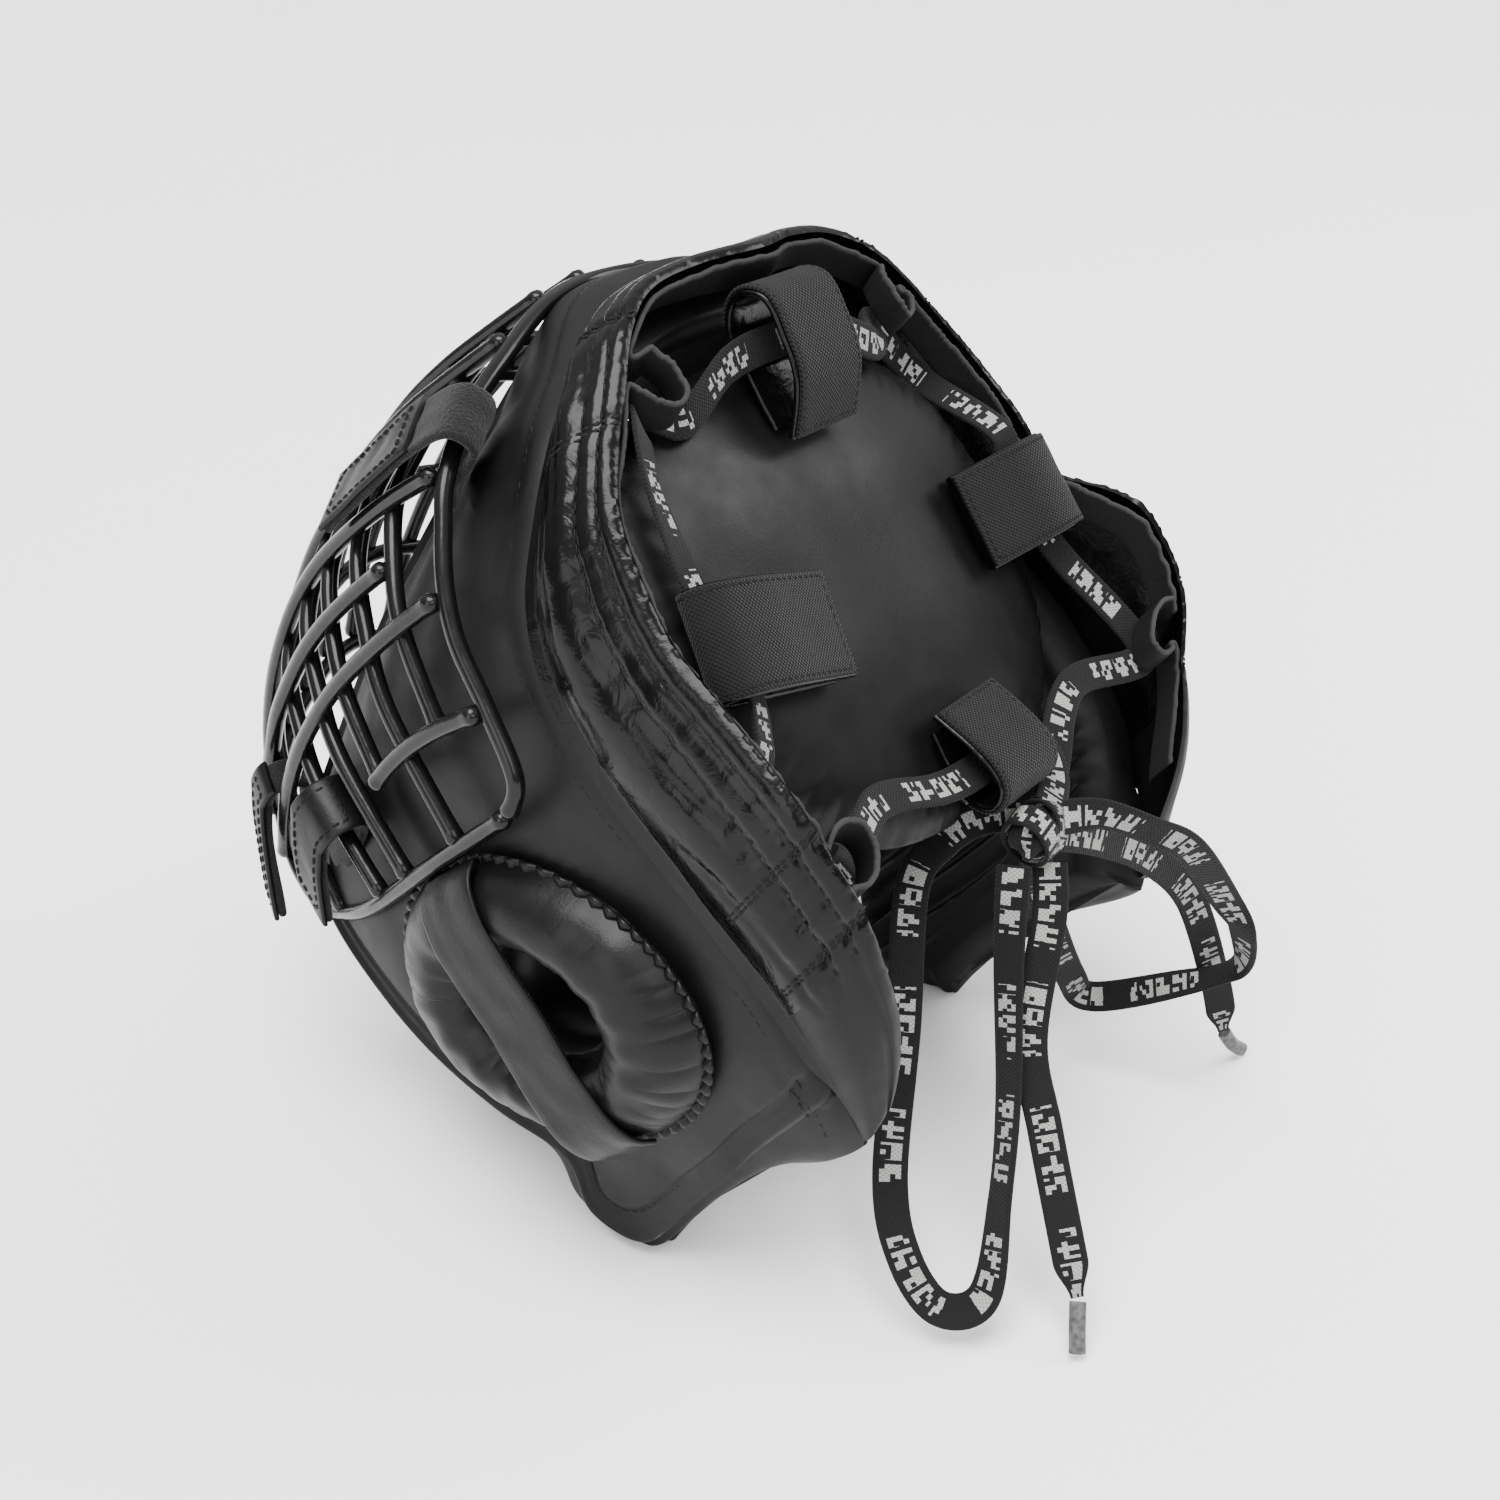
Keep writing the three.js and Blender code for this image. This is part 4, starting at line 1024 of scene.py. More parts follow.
@dataclass(frozen=True)
class EdgeStrap:
    """A flat strap drawn in its edge view, (along, out), and set into the wearer's axes."""

    path: Array
    origin: Array
    along: Array
    out: Array
    skew: float = 0.0

    def measured(self) -> tuple[Array, Array]:
        """The edge view as a smooth path, with the distance along it."""
        line = smooth_path(self.path, 241)
        return line, run_length(line)

    def place(self, edge: Array, across: Array) -> Array:
        """Points of the strap: edge view plus distance across, the outer layer slanted sideways.

        Args:
            edge: (along, out), last axis.
            across: distance across.

        Returns:
            Points of the wearer's axes.
        """
        along = unit(self.along)
        square = unit(np.cross(along, self.out))
        out = np.cross(square, along)
        side = across + self.skew * np.where(edge[..., 1] > 0, np.maximum(edge[..., 0], 0), 0)
        return self.origin + edge[..., :1] * along + edge[..., 1:] * out + side[..., None] * square

    def band(self, width: float, thickness: float, start: float = 0.0, end: float = 1.0, offset: float = 0.0,
             steps: int = 60, wave: float = 0.0, seed: int = 1) -> tuple[Array, Array]:
        """A stretch of the strap as a grid of points.

        Args:
            width: width of the band.
            thickness: its thickness.
            start: share of the path where it starts.
            end: share of the path where it ends.
            offset: how far it lies to the left of the path.
            steps: points along it.
            wave: unevenness of its faces.
            seed: which unevenness.

        Returns:
            The grid in millimetres as it stands, and the marks across.
        """
        line, length = self.measured()
        at = np.linspace(start, end, steps) * length[-1]
        core = read_at(at, length, line)
        ahead = unit(np.gradient(core, axis=0))
        left = np.stack([-ahead[:, 1], ahead[:, 0]], -1)
        section = flat_section(width, thickness)
        rough = wave * ripple(at[:, None] / 18, section[None, :, 0] / 14, seed)
        lift = offset + section[None, :, 1] + rough
        edge = core[:, None] + lift[..., None] * left[:, None]
        grid = self.place(edge, np.broadcast_to(section[None, :, 0], lift.shape))
        return stand(grid), ring_marks(section)

    def line(self, across: Array, start: Array, offset: float) -> tuple[Array, Array]:
        """A line on the strap's left face, with its normals.

        Args:
            across: distance across at each point.
            start: share of the path at each point.
            offset: how far the face lies to the left of the path.

        Returns:
            Points and normals as it stands.
        """
        line, length = self.measured()
        at = np.asarray(start) * length[-1]
        before, core, after = (read_at(at + step, length, line) for step in (-0.5, 0.0, 0.5))
        ahead = unit(after - before)
        left = np.stack([-ahead[:, 1], ahead[:, 0]], -1)
        points, raised = (stand(self.place(core + out * left, across)) for out in (offset, offset + 1))
        return points, unit(raised - points)

    def frame(self, half: float, start: float, end: float, offset: float, steps: int = 60) -> tuple[Array, Array]:
        """A rectangle of sewing on the strap's left face: out along one edge, over, and back.

        Args:
            half: half the rectangle's width.
            start: share of the path where it starts.
            end: share of the path where it ends.
            offset: how far the face lies to the left of the path.
            steps: points on each long side.

        Returns:
            Points and normals as it stands.
        """
        go = np.linspace(start, end, steps)
        over = np.linspace(-half, half, 12)
        across = np.concatenate([np.full(steps, -half), over, np.full(steps, half), -over])
        share = np.concatenate([go, np.full(len(over), end), go[::-1], np.full(len(over), start)])
        return self.line(across, share, offset)


# Sub-assemblies


@dataclass
class PaddedShell:
    """Padded wall: a long padded section carried round the head, with piped edges and a wrinkled lining.

    Sizes are in millimetres; facing, sewn and seam_sewn are distances from an edge, and bow is in steps of the plan.
    """

    columns: int = 14
    end_columns: int = 7
    edge_zone: float = 30.0
    facing: float = 11.5
    facing_depth: float = 3.4
    piping: float = 1.6
    sewn: float = 18.5
    sewn_depth: float = 1.1
    seam_sewn: float = 9.0
    seam_depth: float = 0.6
    forehead: float = 13.0
    unevenness: float = 0.45
    wrinkle: float = 1.7
    wrinkle_pitch: float = 10.5
    bow: float = 0.21
    flare: float = 6.0
    hole_share: float = 0.4

    def height(self, t: Array) -> Array:
        """Length of the cover from hem to seam."""
        seam_plan, seam_up, hem_plan, hem_up, *_ = FORM.station(t)
        return np.linalg.norm(FORM.point(seam_plan, seam_up) - FORM.point(hem_plan, hem_up), axis=-1)

    def to_rear(self, t: Array) -> Array:
        """Distance along the cover from a station to the rear edge."""
        steps = np.linspace(0, FORM.last, 321)
        seam_plan, seam_up, hem_plan, hem_up, *_ = FORM.station(steps)
        length = run_length(FORM.point((seam_plan + hem_plan) / 2, (seam_up + hem_up) / 2))
        return length[-1] - np.interp(np.abs(t), steps, length)

    def from_edge(self, t: Array, rise: Array) -> Array:
        """Distance from the nearer of the hem and the rear edge, as a soft minimum that rounds their corner.

        Args:
            t: station numbers, signed by side.
            rise: share of the way from hem to seam.

        Returns:
            Distances in millimetres.
        """
        hem, rear, soft = rise * self.height(t), self.to_rear(t), 4.0
        return -soft * np.log(np.exp(-hem / soft) + np.exp(-rear / soft))

    def cover_depth(self, t: Array, rise: Array) -> Array:
        """Depth of the outer face.

        It is a low crown with the forehead's swell, rounded at the top and the edges, with a facing set in behind a
        piping, dents along the sewn rows, and full rear corners.

        Args:
            t: station numbers, signed by side.
            rise: share of the way from hem to seam.

        Returns:
            Depths in millimetres.
        """
        wall = FORM.station(t)[6]
        edge = np.maximum(self.from_edge(t, rise), 0)
        top = (1 - rise) * self.height(t)
        front = 1 - step_up((np.abs(t) - 0.5) / 2.4)
        corner = step_up((np.abs(t) - 14.4) / 1.2) * step_up((rise - 0.55) / 0.35)
        depth = -0.4 * wall * rise * (1 - rise)
        depth = depth - self.forehead * front * 2 * rise * np.sqrt(np.clip(1 - rise**2, 0, 1))
        depth = depth + 0.25 * wall * np.clip(1 - top / 7, 0, 1) ** 2
        depth = depth + 0.24 * wall * np.clip(1 - edge / 4.5, 0, 1) ** 2
        depth = depth + self.facing_depth * step_up((self.facing - edge) / 1.6)
        depth = depth - self.piping * ridge(edge - self.facing - 1.5, 1.5)
        depth = depth + self.sewn_depth * ridge(edge - self.sewn, 1.4)
        depth = depth + self.seam_depth * ridge(top - self.seam_sewn, 1.2)
        uneven = self.unevenness * ripple(t * 0.35, rise * 2.2, 5) * step_up(edge / 25)
        return depth * (1 - 0.85 * corner) - uneven

    def lining_depth(self, t: Array, rise: Array) -> Array:
        """Depth of the inner face: flat, rounded at its edges, with wrinkles where the rear flaps bend.

        Args:
            t: station numbers, signed by side.
            rise: share of the way from hem to seam.

        Returns:
            Depths in millimetres.
        """
        wall = FORM.station(t)[6]
        edge = np.minimum(rise, 1 - rise) * self.height(t)
        depth = wall * (0.95 + 0.05 * (2 * rise - 1) ** 2) - 0.3 * wall * np.clip(1 - edge / 7, 0, 1) ** 2
        rear = self.to_rear(t)
        bend = step_up((rear - 6) / 8) * step_up((62 - rear) / 12) * step_up(edge / 14)
        fold = np.sin(FULL_TURN * rear / self.wrinkle_pitch + 0.9 * ripple(t * 0.2, rise * 1.5, 9))
        return depth + bend * self.wrinkle * fold

    def point(self, t: Array, rise: Array, depth: Array, onward: Array | float = 0.0) -> Array:
        """A point of the wall as it stands, pressed flat where it would reach below the floor.

        The rear edges are bowed in, and flare out towards the floor.

        Args:
            t: station numbers, signed by side.
            rise: share of the way from hem to seam.
            depth: millimetres below the cover.
            onward: a further step along the plan.

        Returns:
            Points in the frame of the solids.
        """
        seam_plan, seam_up, hem_plan, hem_up, *_ = FORM.station(t)
        bow = -self.bow * np.sign(t) * step_up((np.abs(t) - 12) / (FORM.last - 12))
        flare = self.flare * step_up((np.abs(t) - 13.8) / (FORM.last - 13.8))
        plan = hem_plan + (seam_plan - hem_plan) * rise + bow * 4 * rise * (1 - rise) + onward
        placed = stand(FORM.point(plan, hem_up + (seam_up - hem_up) * rise, depth - flare * (1 - rise) ** 3))
        placed[..., 2] = np.maximum(placed[..., 2], 0.0)
        return placed

    def cover_line(self, t: Array, rise: Array) -> tuple[Array, Array]:
        """A line on the outer face, by station and rise, with its normals."""
        depth = self.cover_depth(t, rise)
        points = self.point(t, rise, depth)
        return points, unit(self.point(t, rise, depth - 1.0) - points)

    def grid(self) -> Array:
        """The whole wall: outer face from hem to seam, top, lining from seam to hem, and hem, at every column.

        More columns at each end draw the section in to half the wall's depth, which rounds the rear edges.
        """
        count, last = 2 * FORM.last * self.columns + 1, np.full(self.end_columns, FORM.last)
        turn = np.radians(np.linspace(12, 84, self.end_columns))
        t = np.concatenate([-last, np.linspace(-FORM.last, FORM.last, count), last])[:, None]
        round_off = np.concatenate([turn[::-1], np.zeros(count), turn])[:, None]
        wall = FORM.station(t)[6]
        length = self.height(t)
        near = np.arange(0, self.edge_zone, 0.75) / length
        rest = self.edge_zone / length + (1 - self.edge_zone / length) * np.linspace(0, 1, 30)
        outer = np.concatenate([near, rest], 1)
        outer_depth = self.cover_depth(t, outer)
        inner = np.broadcast_to(np.linspace(1, 0, 44), (len(t), 44))
        inner_depth = self.lining_depth(t, inner)
        w = np.linspace(0, 1, 8)[None, 1:-1]
        over_depth = outer_depth[:, -1:] * (1 - w) + inner_depth[:, :1] * w
        under_depth = inner_depth[:, -1:] * (1 - w) + outer_depth[:, :1] * w
        over = 1 + 0.008 * np.sin(np.pi * w) + 0 * t
        under = -0.012 * np.sin(np.pi * w) + 0 * t
        rise = np.concatenate([outer, over, inner, under], 1)
        depth = np.concatenate([outer_depth, over_depth, inner_depth, under_depth], 1)
        depth = wall / 2 + (depth - wall / 2) * np.cos(round_off)
        onward = np.sign(t) * 0.1 * np.sin(round_off)
        return self.point(t, rise, depth, onward)

    def ear_cutter(self, side: Side) -> bpy.types.Object:
        """An oval bar through a side's ear hole."""
        place = EarRing(side).place(self.hole_share, round_angles(72))
        left = np.array([50.0, 130.0])[:, None] * side.value
        grid = np.stack(np.broadcast_arrays(left, place[None, :, 0], place[None, :, 1]), -1)
        bar = Patchwork()
        bar.add(stand(grid))
        return bar.build(f"ear_cutter_{side.word}")

    def build(self, finishes: Finishes) -> None:
        """Makes the wall, cuts the ear holes through it and sews its edges.

        Args:
            finishes: the materials.
        """
        work = Patchwork()
        work.add(self.grid())
        shell = work.build("shell_cover", finishes.shell)
        cutters = [self.ear_cutter(side) for side in Side]
        for cutter in cutters:
            cut = shell.modifiers.new(cutter.name, "BOOLEAN")
            cut.operation, cut.object, cut.solver = "DIFFERENCE", cutter, "EXACT"
        ready = bpy.data.meshes.new_from_object(shell.evaluated_get(bpy.context.evaluated_depsgraph_get()))
        shell.modifiers.clear()
        shell.data = ready
        for cutter in cutters:
            bpy.data.objects.remove(cutter)
        put(shell, "shell_leather", "padded_shell")
        put(self.sewing(finishes), "lace")

    def sewing(self, finishes: Finishes) -> bpy.types.Object:
        """Stitches inside the hem, up the rear edges and below the seam.

        Args:
            finishes: the materials.

        Returns:
            The stitches as one piece.
        """
        work = Patchwork()
        t, top = np.linspace(-15.1, 15.1, 700), 0.9
        hem = halve(np.zeros_like(t), np.full_like(t, top), lambda rise: self.from_edge(t, rise) < self.sewn)
        work.sew(*self.cover_line(t, hem))
        rise = np.linspace(hem[-1] + 0.02, top, 90)
        near, far = np.full_like(rise, 12.0), np.full_like(rise, 16.0)
        rear = halve(near, far, lambda t: self.from_edge(t, rise) > self.sewn)
        for side in Side:
            work.sew(*self.cover_line(rear * side.value, rise))
        t = np.linspace(-15.5, 15.5, 900)
        work.sew(*self.cover_line(t, 1 - self.seam_sewn / self.height(t)), 3.0, 2.2, 0.36)
        return work.build("shell_stitches", finishes.thread)


@dataclass
class CrownBand:
    """Band along the crown's edge: a glossy wrinkled roll with two sewn rows, plain and piped along the rear flaps.

    Folds are given by seed, share of the band's height and depth; tacks, the plain part and the ends by station.
    """

    columns: int = 18
    thickness: float = 3.0
    rows: tuple[float, float] = (0.62, 0.84)
    folds: tuple[tuple[int, float, float], ...] = ((23, 0.2, 0.7), (24, 0.36, 0.6), (25, 0.5, 0.5))
    roll: float = 1.6
    tacks: tuple[float, ...] = (2.8, 4.5, 11.5, 13.2)
    tucked: float = 0.14
    plain_from: float = 13.6
    ends: float = 15.8

    def relief(self, t: Array, share: Array) -> Array:
        """Depth of the outer face: a roll with long folds, two sewn dents with puckers, and tucks at the tacks.

        Args:
            t: station numbers, signed by side.
            share: share of the band's height.

        Returns:
            Depths in millimetres.
        """
        roll = -self.roll * np.sin(np.pi * np.clip(share / 0.56, 0, 1)) ** 0.7
        dents = sum(0.9 * ridge(share - row, 0.035) for row in self.rows)
        inside = np.sin(np.pi * np.clip(share, 0, 1))
        fold = np.zeros(np.broadcast(t, share).shape)
        for seed, at, size in self.folds:
            strength = np.clip(ripple(t * 0.22, np.zeros(1), seed), 0, 1.2)
            wander = 0.07 * ripple(t * 0.3, np.zeros(1), seed + 10)
            fold = fold + size * strength * ridge(share - at - wander, 0.045)
        pucker = sum(ridge(share - row, 0.1) for row in self.rows) * ripple(t * 3.2, share * 0.4, 22, 7)
        slack = 0.3 * ripple(t * 0.9, share * 0.6, 21, 9) * step_up((np.abs(t) - 1.5) / 2.5)
        tuck = sum(ridge(np.abs(t) - at, 0.12) for at in self.tacks) * np.clip(share, 0, 1)
        worked = 1 - step_up((np.abs(t) - self.plain_from) / 0.6)
        piping = (1 - worked) * (0.7 * ridge(share - 0.84, 0.04) - 0.5 * ridge(share - 0.94, 0.04))
        cloth = dents + inside * (fold + 0.14 * pucker + slack) + 0.9 * tuck
        return roll * (0.4 + 0.6 * worked) + worked * cloth + piping

    def face(self, t: Array, share: Array, extra: float = 0.0) -> Array:
        """A point of the outer face as it stands, by station and share, with an extra depth."""
        rounding = 1.4 * np.clip((share - 0.93) / 0.07, 0, 1) ** 2
        return stand(FORM.rim(t, share, self.relief(t, share) + rounding + extra))

    def face_line(self, t: Array, share: Array) -> tuple[Array, Array]:
        """A line on the outer face, by station and share, with its normals."""
        points = self.face(t, share)
        return points, unit(self.face(t, share, -1.0) - points)

    def build(self, finishes: Finishes) -> None:
        """Makes the band and its sewing.

        Args:
            finishes: the materials.
        """
        t = np.linspace(-self.ends, self.ends, 2 * FORM.last * self.columns + 1)[:, None]
        tucked = self.tucked * (1 - step_up((np.abs(t) - 14.4) / 1.0))
        outer = np.linspace(0, 1, 56)[None] * (1 + tucked) - tucked
        inner = np.linspace(0.985, 0, 18)[None] * (1 + tucked) - tucked
        frayed = 0.35 * ripple(t * 4, np.zeros(1), 31)
        out_side = self.face(t, outer)
        in_side = stand(FORM.rim(t, inner, self.thickness - 0.4 * np.sin(np.pi * inner)))
        out_side[:, -1, 2:] += frayed
        work = Patchwork()
        plain = (np.abs((t[1:, 0] + t[:-1, 0]) / 2) > self.plain_from).astype(int)
        work.add(np.concatenate([out_side, in_side], 1), look=plain)
        cover = work.build("band_cover", finishes.gloss, finishes.shell)
        put(cover, "gloss_leather", "crown_band")
        sewing = Patchwork()
        t = np.linspace(-self.plain_from, self.plain_from, 800)
        for row in self.rows:
            sewing.sew(*self.face_line(t, np.full_like(t, row)), 3.4, 2.6, 0.45)
        share = np.linspace(0.15, 0.97, 30)
        for at in (*self.tacks, *(-a for a in self.tacks)):
            for shift in (-0.05, 0.05):
                sewing.sew(*self.face_line(np.full_like(share, at + shift), share), 2.2, 2.0, 0.5)
        put(sewing.build("band_stitches", finishes.thread), "lace")


@dataclass
class LaceStrip:
    """Thin strip inside the rim, bent inwards into four loops for the lace.

    Loops are given by station, reach inwards, half width and skew, for both sides.
    """

    stand_off: float = 4.2
    thickness: float = 1.3
    height: float = 10.0
    loops: tuple[tuple[float, float, float, float], ...] = (
        (FRONT_LOOP, 14.0, 6.0, 1.5), (REAR_LOOP, 14.5, 6.5, -1.0),
    )

    def course(self) -> Array:
        """The strip's top line, along the rim and round each loop as a swelling arc, with its distance in."""
        rows: list[tuple[float, float, float]] = []
        bumps = [(s * at, inward, half, s * skew) for at, inward, half, skew in self.loops for s in (1, -1)]
        for t in np.arange(-FORM.last + 1, FORM.last):
            if all(abs(t - bump[0]) > 0.8 for bump in bumps):
                rows.append((float(t), float(t), 0.0))
        for at, inward, half, skew in bumps:
            before, after = (FORM.rim(np.array(at + step), 1.0, 0.0) for step in (-0.2, 0.2))
            pitch = np.linalg.norm(after - before) / 0.4
            for k in range(-4, 5):
                turn = k / 4 * math.pi * 0.75
                along = half * 1.25 * math.sin(turn) + skew * (1 + math.cos(turn))
                reach = max(inward * (0.414 + math.cos(turn) * 0.586), 0.0)
                rows.append((at + k * 0.01, at + along / pitch, reach))
        table = np.array(sorted(rows))
        knots = FORM.rim(table[:, 1], 1.0, self.stand_off + table[:, 2])
        return smooth_path(np.concatenate([knots, table[:, 2:]], 1), 900)

    def build(self, finishes: Finishes) -> None:
        """Makes the strip: an upright band whose frayed top edge wanders a little.

        Args:
            finishes: the materials.
        """
        course = self.course()
        line, inward = course[:, :3], course[:, 3]
        run = np.gradient(line, axis=0)
        side = unit(np.stack([-run[:, 1], run[:, 0], np.zeros(len(run))], -1))
        length = run_length(line)
        fray = 0.3 * ripple(length / 9, np.zeros(1), 41) + 0.15 * ripple(length / 2.5, np.zeros(1), 42)
        section = flat_section(self.height, self.thickness, 10)
        lean = 0.6 * ripple(length[:, None] / 40, section[None, :, 0] / 25, 43)
        low = -2.2 * step_up((4.0 - inward) / 3.0)[:, None]
        up = section[None, :, 0] - self.height / 2 + 0.5 + low + fray[:, None] * (section[None, :, 0] > 3)
        grid = line[:, None] + (section[None, :, 1] + lean)[..., None] * side[:, None]
        grid[..., 2] += up
        work = Patchwork()
        work.add(stand(grid), across=ring_marks(section) + self.height / 2)
        put(work.build("lace_strip_cloth", finishes.strip), "lace_strip", "lace_strip")


@dataclass
class CrownPad:
    """Padded disc that hangs in the crown, with a seam round its edge."""

    half_width: float = 72.0
    half_length: float = 66.0
    squareness: float = 0.82
    fuller: float = 0.13
    fuller_at: float = 0.92
    fuller_spread: float = 0.42
    profile: Array = field(default_factory=lambda: np.array([
        # reach, out
        (0.02, 8.0), (0.25, 7.8), (0.45, 7.3), (0.6, 6.5), (0.75, 5.2), (0.86, 3.6), (0.95, 1.0), (1.0, -2.6),
        (0.985, -5.0), (0.94, -6.9), (0.85, -7.8), (0.6, -8.2), (0.25, -8.3), (0.02, -8.3),
    ]))

    def build(self, finishes: Finishes) -> None:
        """Makes the pad: its profile carried round a squarish oval, with soft dents and gathers.

        It is fuller at the left front, where it all but meets the wall.

        Args:
            finishes: the materials.
        """
        angle = round_angles(220)[None]
        line = smooth_path(self.profile, 90)
        reach, out = line[:, :1], line[:, 1:]
        seam = ridge(out + 2.6, 1.1) * (reach > 0.9)
        gather = 0.35 * ripple(angle * 9, reach * 2, 51) * step_up((reach - 0.8) / 0.15)
        dent = 0.6 * ripple(reach * np.cos(angle), reach * np.sin(angle), 52)
        across, along = (np.sign(f(angle)) * np.abs(f(angle)) ** self.squareness for f in (np.sin, np.cos))
        size = reach * (1 + self.fuller * ridge(angle - self.fuller_at, self.fuller_spread)) + 0.012 * seam
        grid = PAD.point(self.half_width * size * across, self.half_length * size * along, out + gather + dent)
        work = Patchwork()
        work.add(stand(grid))
        put(work.build("crown_pad_cover", finishes.pad), "shell_leather", "crown_pad")


@dataclass
class CrownTab:
    """Hook-and-loop tab folded round the lace: a leather strip with woven hook tape on its outer face.

    Start and fold are distances from the pad's middle to the root and to the fold; rest is the root's height on the
    pad; lift and curl raise the outer layer and its free end; left and ahead give the direction; turn is in degrees.
    """

    name: str
    start: float
    rest: float
    fold: float
    lift: float
    curl: float
    left: float
    ahead: float
    turn: float = 0.0
    width: float = 28.0

    def strap(self) -> EdgeStrap:
        """The tab's edge view, from its root on the pad round the lace to its free end."""
        start, fold, rest, lift, span = self.start, self.fold, self.rest, self.lift, self.fold - self.start
        path = [
            (start, rest + 1.4), (start + 0.4 * span, rest + 1.4), (fold - 0.2 * span, rest + 1.9),
            (fold, rest + 3.6 + lift * 0.35), (fold + 1.5, rest + 7 + lift * 0.7),
            (fold - 0.1 * span, rest + 10.5 + lift), (fold - 0.4 * span, rest + 10.5 + lift),
            (start + 0.25 * span, rest + 8 + lift * self.curl), (start - 4, rest + 5.4),
        ]
        straight = np.array([self.left, 0.0, 0.0]) + self.ahead * PAD.ahead
        angle = math.radians(self.turn)
        along = straight * math.cos(angle) + np.cross(PAD.out, straight) * math.sin(angle)
        middle = (start + fold) / 2
        return EdgeStrap(np.array(path), PAD.point(0, 0, 0) + middle * (straight - along), along, PAD.out)

    def build(self, finishes: Finishes) -> None:
        """Makes the leather strip, the tape and the tape's sewing.

        Args:
            finishes: the materials.
        """
        strap = self.strap()
        work = Patchwork()
        grid, across = strap.band(self.width, 1.7, offset=0.35, steps=90, wave=0.1, seed=61)
        work.add(grid, across=across, look=0)
        grid, across = strap.band(self.width - 1.2, 1.0, 0.34, 0.995, offset=-1.05, steps=70, wave=0.06, seed=62)
        work.add(grid, across=across, look=1)
        points, normals = strap.frame(self.width / 2 - 2.0, 0.37, 0.975, -1.6)
        work.sew(points, -normals, 2.4, 1.9, 0.3, look=2)
        tab = work.build(f"crown_tab_{self.name}_tape", finishes.gloss, finishes.hook, finishes.thread)
        put(tab, "hook_loop_tape", f"crown_tab_{self.name}")


